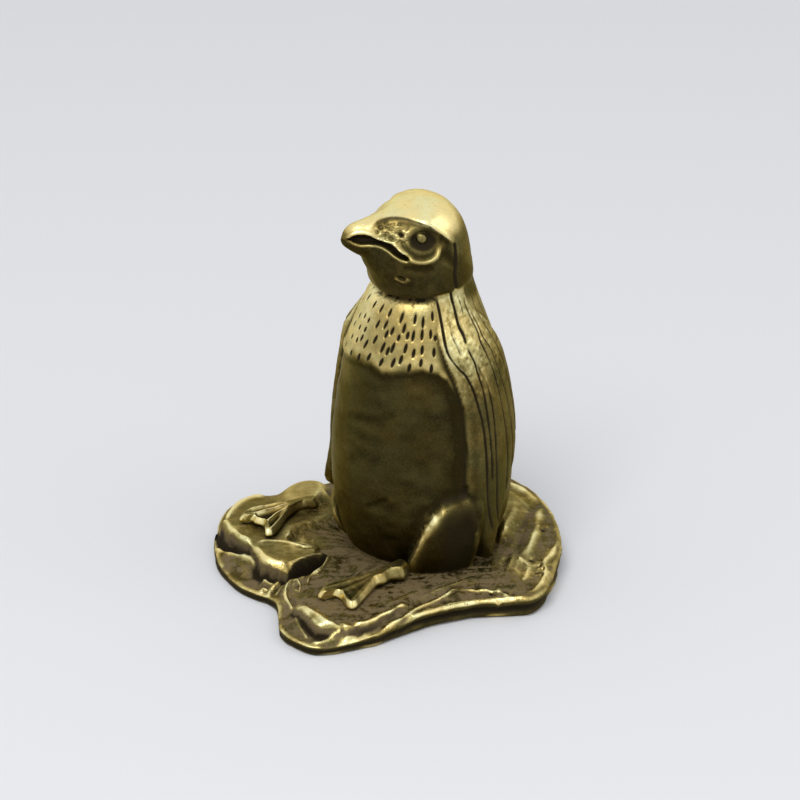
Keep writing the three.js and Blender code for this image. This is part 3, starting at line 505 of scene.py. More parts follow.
def headRelief(points, forward, up, across):
    # A sum of bells across the lines and round the places named above, and of smooth steps between them,
    # on both sides alike except for the brow, which is softer on the bird's right.
    look = headLook
    nearSide = smoothStep(0.25, 0.9, np.abs(across))
    farSide = 1 - 0.9 * smoothStep(0, -0.8, across) * smoothStep(1.4, 2.6, forward)
    browUp = np.interp(forward, *np.array(sorted(brow)).T)
    below = browUp - up
    front = smoothStep(-1.9, -0.9, forward) * smoothStep(6.2, 4.4, forward)
    step = -look["browStep"] * smoothStep(-0.1, 0.32, below) * smoothStep(3.4, 1.4, below) * front
    step = (step + 0.04 * bell(below + 0.3, 0.3) * front) * farSide
    browAway = lineDistance(forward, up, smoothLine(brow))[0]

    eyeAway = np.hypot(forward - look["eye"][0], (up - look["eye"][1]) * 1.04)
    oval = np.hypot((forward - look["socket"][0]) / 1.5, (up - look["socket"][1]) / 1.15)
    socket = -look["socketDepth"] * smoothStep(1.2, 0.5, oval)
    ring = bell(eyeAway - look["eyeRadius"] - 0.16, 0.26)
    ball = np.clip(1 - ((eyeAway + 0.1 * lumps(points, 0.5, 14)) / look["eyeRadius"]) ** 2, 0, 1) ** 0.6
    ball = ball * (0.3 + 0.05 * lumps(points, 0.4, 15))
    lidAway, lidAlong, _ = lineDistance(forward, up, smoothLine(lid))
    lidRidge = look["lidRise"] * bell(lidAway, 0.27) * smoothStep(0, 0.12, lidAlong)
    lidRidge = lidRidge * smoothStep(1, 0.85, lidAlong)
    bowl = -look["bowlDepth"] * smoothStep(2.5, 1.9, eyeAway) * smoothStep(0.8, 1.4, eyeAway)
    bowl = bowl * smoothStep(38.2, 37.2, up)

    upper = np.interp(forward, *np.array(sorted(mouthUpper)).T)
    lower = np.interp(forward, *np.array(sorted(mouthLower)).T)
    middle, half = (upper + lower) / 2, np.maximum((upper - lower) / 2, 0.06)
    mouthReach = smoothStep(2.95, 3.35, forward) * smoothStep(8.35, 8.0, forward)
    gape = np.clip(1 - ((up - middle) / (half + 0.05)) ** 2, 0, 1) * mouthReach
    mouth = -look["mouthDepth"] * np.minimum(1, 0.35 + half / 0.5) * gape**0.7
    lips = look["lipRise"] * bell(lower - up - 0.16, 0.17) * mouthReach * smoothStep(8.1, 7.4, forward)
    lips += 0.1 * bell(up - upper - 0.22, 0.22) * mouthReach
    corner = -0.35 * bell(np.hypot(forward - 3.35, up - 36.0), 0.35)

    cheek = -0.13 * bell(lineDistance(forward, up, [(3.3, 35.0), (2.4, 34.85), (1.2, 34.9)])[0], 0.35)
    scar = 0.16 * bell(lineDistance(forward, up, [(4.3, 33.75), (4.0, 33.5), (3.5, 33.8)])[0], 0.16)
    scar -= 0.2 * bell(np.hypot(forward - 3.95, up - 33.85), 0.2)
    rough = smoothStep(2.6, 3.1, forward) * smoothStep(6.1, 5.2, forward)  # 1 on the lore
    rough = rough * smoothStep(37.0, 37.6, up) * smoothStep(0, 0.3, below)
    pitted = lumps(points, 0.42, 9) * 0.09 + lumps(points, 0.2, 10) * 0.05
    pitAway = np.hypot((forward - look["lorePit"][0]) / 0.8, up - look["lorePit"][1])
    lore = (rough * (1.3 * pitted - 0.05) - 0.3 * bell(pitAway, 0.3) * nearSide) * farSide

    nape, napeAlong, _ = lineDistance(forward, up, smoothLine(napeLine))
    sides = smoothStep(2.0, 3.0, np.abs(across))
    groove = bell(nape, 0.2) * smoothStep(0, 0.08, napeAlong) * sides

    soft = (step + socket + bowl + corner) * nearSide + cheek + scar + lore
    soft = soft + (ball - 0.12 * ring * (eyeAway < 1.6)) * nearSide + lidRidge
    soft = soft + mouth * nearSide + lips * nearSide
    soft = soft + 0.05 * lumps(points, 2.6, 12) + 0.02 * lumps(points, 1.1, 13)
    ink = np.maximum(gape * nearSide * (0.4 + 0.6 * smoothStep(0.05, 0.25, half)), 0.9 * groove)
    # painted shade in the eye's socket, carried with the cuts' ink
    hollow = smoothStep(1.25, 0.75, oval) * smoothStep(0.4, 0.75, eyeAway)
    hollow = hollow * (0.6 + 0.4 * smoothStep(0.6, -0.6, up - 37.9))
    ink = np.maximum(ink, 0.62 * hollow * nearSide)
    # painted shadow under the brow's step
    browLine = 0.6 * bell(browAway, 0.13) * front * nearSide * smoothStep(-0.12, 0.05, below)
    ink = np.maximum(ink, browLine * farSide)
    ink = np.maximum(ink, 0.9 * bell(pitAway, 0.25) * nearSide * farSide)
    lip = bell(lower - up - 0.14, 0.15) * mouthReach + 0.7 * bell(up - upper - 0.15, 0.13) * mouthReach
    marks = {
        "underBrow": smoothStep(-0.08, 0.1, below) * smoothStep(0.15, 0.5, farSide),
        "underMouth": smoothStep(0.1, -0.15, up - middle) * smoothStep(2.6, 3.4, forward),
        "eyeball": smoothStep(look["eyeRadius"], 0.3, eyeAway) * nearSide,
        "lid": bell(lidAway, 0.24), "rough": rough, "lip": lip,
    }
    return soft, look["napeDepth"] * groove, ink, marks


def jowlRelief(points, row):
    # A fold over the neck at the front and sides: a groove at the neck row and a swell just above it.
    ahead = smoothStep(78, 52, np.abs(np.degrees(np.arctan2(points[..., 0] + 0.9, -points[..., 1]))))
    head = row - neckRow
    swell = headLook["jowlRise"] * bell(head - 1.25, 0.95)
    groove = -headLook["creaseDepth"] * bell(head + 0.05, 0.34)
    return (swell + groove) * ahead, np.clip(-groove / headLook["creaseDepth"], 0, 1) * ahead


def birdSkin(rows, columns, tuck):
    # The loft, pushed out level by the big forms, then along its own normal by the small ones. Rows past
    # the neck, where the other piece covers this one, are tucked in by the square of the rows past it.
    turn = np.linspace(0, 2 * np.pi, columns, endpoint=False)[None, :]
    row = np.asarray(rows)[:, None] + 0 * turn
    turn = turn + 0 * row
    base, forward, up, across = loftShape(row, turn)
    level = normalsOf(base)
    if np.sum(level[..., :2] * base[..., :2]) < 0:
        level = -level
    trunk = trunkRelief(base)
    below = smoothStep(neckRow + 0.35, neckRow - 0.1, row)
    flat = level * np.array([1, 1, 0])
    flat = flat / np.maximum(np.linalg.norm(flat, axis=-1, keepdims=True), 0.3)
    jowl, crease = jowlRelief(base, row)
    carved = base + flat * (trunk["big"] * below)[..., None] + level * jowl[..., None]
    normal = normalsOf(carved)
    if np.sum(normal * level) < 0:
        normal = -normal

    above = smoothStep(neckRow + 0.2, neckRow + 1.0, row)
    headSoft, headGroove, headInkAndShade, marks = headRelief(base, forward, up, across)
    cut = engrave(radialArc(trunk["bearing"]), trunk["level"])
    cut = cut * smoothStep(neckRow + 0.7, neckRow + 0.3, row)
    soft = trunk["soft"] * below + headSoft * above
    grain = 0.018 * lumps(base, 0.7, 20) + 0.01 * lumps(base, 0.33, 21)
    small = soft + grain - trunkLook["grooveDepth"] * cut
    small = small - headGroove * smoothStep(neckRow, neckRow + 0.6, row)
    made = carved + normal * small[..., None] - normal * tuck[:, None, None]

    height = trunk["big"] * below + jowl + soft
    fine = height - blurOn(base, height, 0.4)
    broad = height - blurOn(base, height, 1.4)
    ink = np.maximum(cut, headInkAndShade * above)
    facts = {
        "fine": fine, "broad": broad, "ink": ink, "crease": crease, "above": above, "below": below,
        "forward": forward, "up": up,
    }
    return made, {**trunk, **marks, **facts}


# How bright each part is, by wear and by painted highlight and painted shade, from 0 for the dark skin to 1
# for bare brass, and how black its cuts and its painted shade are.
birdWearAndLight = {
    "chest": 0.62,
    "chestRight": 0.24,  # more of it on the bird's right, as painted highlight
    "nape": 0.46,  # less of it behind the neck, as painted shade
    "flipper": 0.15,
    "shoulder": 0.3,  # more of it up the flipper, as painted highlight
    "sheen": 0.34,  # the flipper's bright patch, a painted highlight
    # the belly's dark is partly patina and partly a painted dark reflection
    "belly": 0.1,
    "flank": 0.2,
    # the thigh's upper edge, worn bright and a painted highlight
    "thighEdge": 0.6,
    "crown": 0.34,
    # the crown's top, worn bright and a painted highlight
    "crownTop": 0.66,
    # the face under the brow, dark as painted shade
    "face": 0.08,
    "beak": 0.34,
    # a painted highlight on the top of the beak
    "beakTop": 0.6,
    "highSpots": 0.34,  # more on small ones, less in small hollows
    "swells": 0.22,  # the same for large ones, where the darker large hollows are painted shade
    "cutSootAndShade": 1.25,
    # painted shade on the throat and under the jowl
    "throatShade": 0.34,
    "neckShade": 0.36,
    # patina in small hollows and painted shade in broad ones
    "hollowSootAndShade": 0.7,
}


def chestPolishAndLight(bearing, level):
    # The chest's brightness, partly bare brass and partly painted highlight, by smooth steps of bearing and
    # level:
    # brighter on the bird's right and by the flipper as painted highlight, darker behind as painted shade.
    wear, around = birdWearAndLight, np.abs(bearing)
    polish = wear["chest"] + wear["chestRight"] * smoothStep(5, -30, bearing) * smoothStep(24, 27, level)
    polish = polish - 0.06 * smoothStep(26, 24.5, level)
    polish = polish - 0.2 * smoothStep(-50, -75, bearing) - 0.12 * smoothStep(98, 130, around)
    polish = polish + 0.2 * bell(bearing - 88, 15) * smoothStep(26, 28.5, level)
    polish = polish + 0.08 * smoothStep(-5, -25, bearing)
    behind = 1.6 * smoothStep(88, 104, around)
    return polish - wear["nape"] * smoothStep(0, 1.4, level - 31.2 + behind) * smoothStep(70, 82, around)


def bellyPolishAndLight(bearing, level, panel):
    # The belly's dark, partly patina and partly a painted dark reflection: brighter towards the bird's
    # right, the top and the seat as painted light, and one flat value outside the belly's panel.
    polish = birdWearAndLight["belly"] + 0.12 * smoothStep(5, -55, bearing)
    polish = polish + 0.16 * smoothStep(19.5, 23.5, level) * smoothStep(10, -40, bearing)
    polish = polish - 0.12 * bell(level - 16.5, 4.0) * smoothStep(-15, -45, bearing)
    polish = polish + 0.1 * smoothStep(12, 6, level) * smoothStep(10, -50, bearing)
    return polish + (birdWearAndLight["flank"] - polish) * (1 - panel)


def flipperPolishAndLight(points, bearing, level, lead):
    # Brighter upwards as painted highlight, with a slanting oval bell as the sheen, a painted highlight,
    # flecks along the feathers from two sets of lumps, and darker behind and low down at the leading edge
    # as painted shade.
    around = np.abs(bearing)
    polish = birdWearAndLight["flipper"] + birdWearAndLight["shoulder"] * smoothStep(22.5, 27, level)
    polish = polish + 0.1 * smoothStep(8, 18, level)
    sheen = bell(np.hypot((bearing - 80 + 2.2 * (level - 24.5)) / 13, (level - 24.5) / 3.4), 1)
    broken = np.clip(0.7 + 0.7 * lumps(points, 0.35, 38) + 0.4 * lumps(points, 1.2, 39), 0, 1)
    polish = polish + birdWearAndLight["sheen"] * sheen * broken
    polish = polish + 0.16 * smoothStep(25.5, 28, level) * smoothStep(122, 100, around)
    flecks = smoothStep(0.1, 0.6, lumps(points, 0.3, 40)) - smoothStep(0.1, 0.6, lumps(points, 0.34, 41))
    polish = polish + 0.16 * flecks * smoothStep(19, 25, level)
    polish = polish - 0.1 * smoothStep(100, 150, around)
    return polish - 0.2 * smoothStep(1.3, 0.2, lead) * smoothStep(24, 19, level)


def thighMasks(points, bearing, level, inside):
    # Its upper edge, worn bright and a painted highlight, a ragged bell half a millimetre inside; the face
    # under that, dark as painted shade; and the strip behind it, painted shade.
    ragged = inside + 0.2 * lumps(points, 0.8, 34)
    wide = 0.4 + 0.65 * bell(bearing - 44, 9)
    edge = bell(ragged - 0.5, wide) * smoothStep(62, 50, np.abs(bearing)) * (bearing > 0)
    edge = edge * np.clip(0.8 + 1.0 * lumps(points, 0.4, 37), 0, 1)
    back = smoothStep(49, 58, bearing) * smoothStep(-0.7, 0.1, inside) * smoothStep(12.2, 11.2, level)
    return edge, smoothStep(0.4, 1.5, inside), back


def headPolishAndLight(facts):
    # The crown, worn bright and brighter upwards as painted highlight; under the brow the face in painted
    # shade, with the beak brighter upwards as painted highlight and all of it dark below the mouth as
    # painted shade; a nape darkened as painted shade; and painted highlights on the lids and lips.
    up, forward, wear = facts["up"], facts["forward"], birdWearAndLight
    crown = smoothStep(36.1, 38.7, up + 0.28 * np.clip(forward, -6, 1))
    crown = wear["crown"] + wear["crownTop"] * crown
    face = wear["face"] + 0.3 * facts["rough"] + 0.12 * smoothStep(35.5, 37, up)
    face = face + 0.25 * smoothStep(37.8, 38.6, up) * bell(forward - 2.2, 1.6)
    beak = smoothStep(5.0, 6.2, forward)
    face = face * (1 - beak) + (wear["beak"] + wear["beakTop"] * smoothStep(37.7, 38.5, up)) * beak
    face = face - (face - 0.06) * facts["underMouth"] * smoothStep(3.2, 4.6, forward)
    nape = smoothStep(-0.9, -1.9, forward + 0.45 * (37 - up))
    under = facts["underBrow"] * (1 - nape)
    polish = crown * (1 - under) + face * under
    polish = polish - 0.36 * nape * smoothStep(38.2, 35.6, up) * smoothStep(31.3, 35.2, up) * crown
    return polish + 0.14 * facts["lid"] + 0.2 * facts["lip"]


def birdPaint(points, facts):
    # polish: how far the brass is rubbed bright, together with painted highlights and painted shade; soot:
    # the black left in cuts, together with painted shade; earth: matt brown patina. Each part's polish is
    # blended in by its mask, then high spots gain, and hollows lose partly by patina and partly as painted
    # shade.
    bearing, level = facts["bearing"], facts["level"]
    body, onHead, wing = facts["below"], facts["above"], facts["over"]
    smooth = 1 - 0.5 * facts["panel"] * body  # the belly is speckled half as much
    chest = smoothStep(-0.5, 0.9, level - facts["edge"] + 0.5 * lumps(points, 0.9, 33))
    bareAndLit = chestPolishAndLight(bearing, level) * chest + (1 - chest) * bellyPolishAndLight(bearing, level, facts["panel"])
    polish = bareAndLit * (1 - wing) + flipperPolishAndLight(points, bearing, level, facts["lead"]) * wing
    thighEdge, thighFace, thighBack = thighMasks(points, bearing, level, facts["thighOut"])
    thighFace = thighFace * (1 - wing)
    polish = polish * (1 - 0.95 * thighFace) + birdWearAndLight["thighEdge"] * thighEdge * (1 - wing)
    polish = polish * (1 - onHead) + headPolishAndLight(facts) * onHead
    keen = birdWearAndLight["highSpots"] * np.clip(facts["fine"] / 0.1, -0.7, 1)
    keen = keen * (1 - 0.75 * wing * (1 - onHead)) * (1 - 0.35 * onHead)
    # large hollows darker as painted shade
    swell = birdWearAndLight["swells"] * np.clip(facts["broad"] / 0.5, -0.6, 0.6) * (1 - 0.9 * wing * body)
    polish = polish + keen + swell
    mottled = lumps(points, 2.2, 30) * 0.06 + lumps(points, 0.8, 31) * 0.03 + lumps(points, 0.35, 35) * 0.03
    polish = polish - np.clip(polish - 0.4, 0, 1) * facts["eyeball"] * onHead
    polish = np.clip(polish * (1 - 0.6 * thighBack * body) + mottled * smooth, 0.0, 1)

    # painted shade in the crease, under the jowl and on the throat, broken into specks there
    throat = smoothStep(2.0, 0.3, 31.6 - level) * smoothStep(80, 50, np.abs(bearing)) * body
    specks = smoothStep(-0.2, 0.7, lumps(points, 0.26, 36)) * throat
    shade = birdWearAndLight["neckShade"] * bell(level - 31.8, 1.2) * smoothStep(80, 55, np.abs(bearing))
    shade = 0.2 * facts["crease"] + birdWearAndLight["throatShade"] * specks + shade
    soot = np.maximum(birdWearAndLight["cutSootAndShade"] * facts["ink"], shade)
    # patina in small hollows and painted shade in broad ones
    hollow = np.clip(-facts["fine"] / 0.2, 0, 1) * 0.55 + np.clip(-facts["broad"] / 0.5, 0, 1) * 0.6
    hollow = birdWearAndLight["hollowSootAndShade"] * hollow * (1 - 0.5 * onHead) * smooth
    soot = np.maximum(soot, hollow * (1 - 0.6 * facts["rough"] * onHead))
    # painted shade on the thigh's face and on the strip behind it
    thighPaintedShade = (0.2 * thighFace + 0.3 * thighBack * body) * (1 - thighEdge)
    soot = np.clip(soot * (1 - 0.7 * thighEdge) + thighPaintedShade, 0, 1)
    earth = np.clip(0.7 * np.exp(-np.clip(level - 2.6, 0, None) / 0.5) - 0.1, 0, 1)
    return {"polish": polish, "soot": soot, "earth": earth}


def spacedRows(stops):
    # Row numbers whose levels are spaced by the distance that each stop gives for the levels below it.
    levels = []
    for (low, _), (high, gap) in zip(stops[:-1], stops[1:]):
        levels.append(np.arange(low, high, gap))
    return rowAt(np.concatenate(levels + [[stops[-1][0]]]))


birdGrid = {
    "columns": 440,
    "trunkStops": [(1.3, 0), (2.2, 0.3), (6.0, 0.13), (24.0, 0.2), (31.5, 0.11)],
    "headRows": 205,
    "tuckRows": 8,  # how many rows of each piece run on under the other
    "tuckStep": 0.06,
    "tuckDepth": 0.004,  # millimetres for the first, growing by its number's square
}
tuckNumber = np.arange(1, birdGrid["tuckRows"] + 1)
tuckDepth = birdGrid["tuckDepth"] * tuckNumber**2
trunkRows = spacedRows(birdGrid["trunkStops"])
rows = np.concatenate([trunkRows, neckRow + birdGrid["tuckStep"] * tuckNumber])
points, facts = birdSkin(rows, birdGrid["columns"], np.concatenate([0 * trunkRows, tuckDepth]))
bird = closedPiece("bird_trunk", points, birdPaint(points, facts))
print("trunk:", len(bird.data.vertices), "points")

headRows = np.linspace(neckRow, len(loftRows) - 1, birdGrid["headRows"])
rows = np.concatenate([neckRow - birdGrid["tuckStep"] * tuckNumber[::-1], headRows])
points, facts = birdSkin(rows, birdGrid["columns"], np.concatenate([tuckDepth[::-1], 0 * headRows]))
head = closedPiece("bird_head", points, birdPaint(points, facts))
print("head:", len(head.data.vertices), "points")

for piece in (bird, head):
    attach(piece, "root")
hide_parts("trunk", "left_flipper", "right_flipper", "left_thigh", "right_thigh", "tail")
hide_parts("head")


def closedOutline(points, count):
    # A closed curve through the points, read at equal steps along its length. The curve is made with some
    # points from its other end on either side, which are cut off again.
    points = np.asarray(points, float)
    parts = 24
    line = smoothLine(np.concatenate([points[-2:], points, points[:3]]), parts)
    line = line[2 * parts : (2 + len(points)) * parts]
    steps = np.hypot(*(np.roll(line, -1, axis=0) - line).T)
    place = np.concatenate([[0], np.cumsum(steps)])
    at = np.arange(count) / count * place[-1]
    return np.stack([np.interp(at, place, np.append(line[:, k], line[0, k])) for k in (0, 1)], -1)


# The underside's rings, as shares of the way out to the outline.
undersideRings = [0.02, 0.5, 0.9]


def slabSkin(outline, spine, wall, shares, top, floor):
    # Rings that follow the outline and shrink to a spine: the underside's, then the wall's, whose rows are
    # (inset, share of the height over the floor), then those on the top, each a share of the way from the
    # spine's nearest point to the outline drawn in by the last wall row. The top gives its height at each
    # place, and marks for the paints.
    (ax, ay), (bx, by) = spine
    length = (bx - ax) ** 2 + (by - ay) ** 2
    t = np.clip(((outline[:, 0] - ax) * (bx - ax) + (outline[:, 1] - ay) * (by - ay)) / length, 0, 1)
    middle = np.stack([ax + t * (bx - ax), ay + t * (by - ay)], -1)
    out = outline - middle
    reach = np.hypot(*out.T)
    out = out / reach[:, None]
    walls = [np.maximum(reach - inset, 0.3 * reach) for inset, _ in wall]
    reaches = [reach * share for share in undersideRings] + walls + [walls[-1] * share for share in shares]
    plan = middle + out * np.stack(reaches)[..., None]
    rise = [0] * len(undersideRings) + [share for _, share in wall] + [1] * len(shares)
    height, marks = top(plan[..., 0], plan[..., 1])
    level = floor + (height - floor) * np.array(rise)[:, None]
    return np.concatenate([plan, level[..., None]], -1), marks


def wallRowNumber(points):
    # Each point's row, counted from the foot of the wall.
    return (np.arange(len(points)) - len(undersideRings))[:, None] * np.ones(points.shape[:2])


# The rock.
rockLook = {
    "level": 2.65,
    "least": 0.8,
    "holeFloor": 0.65,
    "seat": 2.3,  # flat under the trunk
    "seatRadius": 9.0,
    "rough": 0.07,
    "striae": 0.17,
    "ragged": 0.13,  # how uneven the terraces' edges are
    "columns": 640,
    "spine": ((-0.5, -4.0), (0.5, -4.0)),
}

# Its outline in plan with the level of its rim, anticlockwise from the front lobe.
rockRim = [
    (-0.7, -20.4, 1.0), (0.8, -21.8, 1.0), (2.3, -22.4, 1.05), (4.0, -22.5, 1.05), (5.6, -22.2, 1.0),
    (6.9, -21.0, 1.0), (8.0, -19.2, 1.2), (9.1, -17.0, 1.5), (9.8, -14.8, 1.85), (10.4, -12.8, 2.15),
    (11.0, -10.6, 2.1), (12.0, -8.4, 2.1), (13.1, -6.5, 2.15), (14.5, -4.9, 2.2), (16.1, -3.2, 2.2),
    (17.0, -1.9, 2.15), (16.9, 0.0, 2.2), (15.9, 2.3, 2.4), (14.4, 5.0, 2.7), (12.8, 7.5, 2.85),
    (9.8, 10.4, 3.0), (6.2, 12.9, 2.9), (1.8, 14.6, 2.7), (-3.2, 14.4, 2.6), (-7.8, 12.4, 2.6),
    (-11.4, 9.2, 2.5), (-13.4, 5.2, 2.3), (-14.8, 1.4, 2.0), (-16.3, -2.4, 1.9), (-17.7, -5.8, 2.3),
    (-18.2, -8.6, 2.5), (-17.9, -10.9, 2.0), (-17.0, -12.6, 1.3), (-15.8, -14.2, 1.0),
    (-14.4, -15.5, 0.9), (-13.0, -16.6, 0.9), (-11.5, -17.4, 0.9), (-9.9, -18.0, 0.9),
    (-8.4, -18.4, 0.9), (-7.0, -18.5, 0.9), (-5.6, -18.4, 0.9), (-4.2, -18.2, 1.0), (-2.6, -18.7, 1.0),
]

# Terraces: level, width of the slope, outline.
terraces = [
    (3.35, 0.5, [(-19, -6.2), (-19, -11), (-16.6, -12.0), (-15.6, -13.1), (-14.4, -13.9),
                 (-13.1, -14.3), (-11.8, -14.6), (-10.6, -14.8), (-9.6, -15.0), (-8.5, -15.4),
                 (-7.5, -15.8), (-6.6, -15.9), (-5.6, -15.7), (-4.8, -14.9), (-4.3, -13.9),
                 (-4.0, -12.9), (-3.7, -11.8), (-5.2, -10.2), (-6.4, -10.6), (-7.6, -11.6),
                 (-8.6, -9.4), (-8.0, -6.5), (-7.0, -3.6), (-7.6, -1.0), (-12.0, -2.2)]),
    (1.25, 0.45, [(-19, -12.4), (-16.4, -13.0), (-15.4, -13.7), (-14.2, -14.3), (-13.1, -14.8),
                  (-11.8, -15.0), (-10.6, -15.2), (-9.6, -15.4), (-8.5, -15.9), (-7.5, -16.3),
                  (-6.6, -16.5), (-5.6, -16.4), (-4.7, -15.9), (-3.9, -15.6), (-3.6, -16.4),
                  (-3.4, -17.4), (-4, -21), (-18, -20)]),
    (1.35, 0.5, [(-3.3, -17.4), (-2.2, -18.2), (-0.9, -18.8), (0.3, -19.3), (1.2, -19.5), (2.4, -19.9),
                 (3.3, -20.2), (4.1, -20.6), (5.0, -20.6), (6.0, -20.0), (7.2, -19.0), (8.0, -17.9),
                 (8.6, -16.6), (8.7, -15), (9.2, -13.4), (12, -12.6), (9, -24), (-4, -24)]),
    (3.6, 2.4, [(0.5, 11.5), (3.2, 12.4), (4.8, 11.8), (5.8, 10.0), (6.9, 7.2), (7.6, 4.2), (4, 2),
                (-3, 5), (-4, 11)]),
]

# The hump behind the right foot: its middle, half sizes, turn in degrees and level.
hump = {"middle": (-12.7, -3.7), "half": (2.9, 4.1), "turn": 12, "level": 4.25}

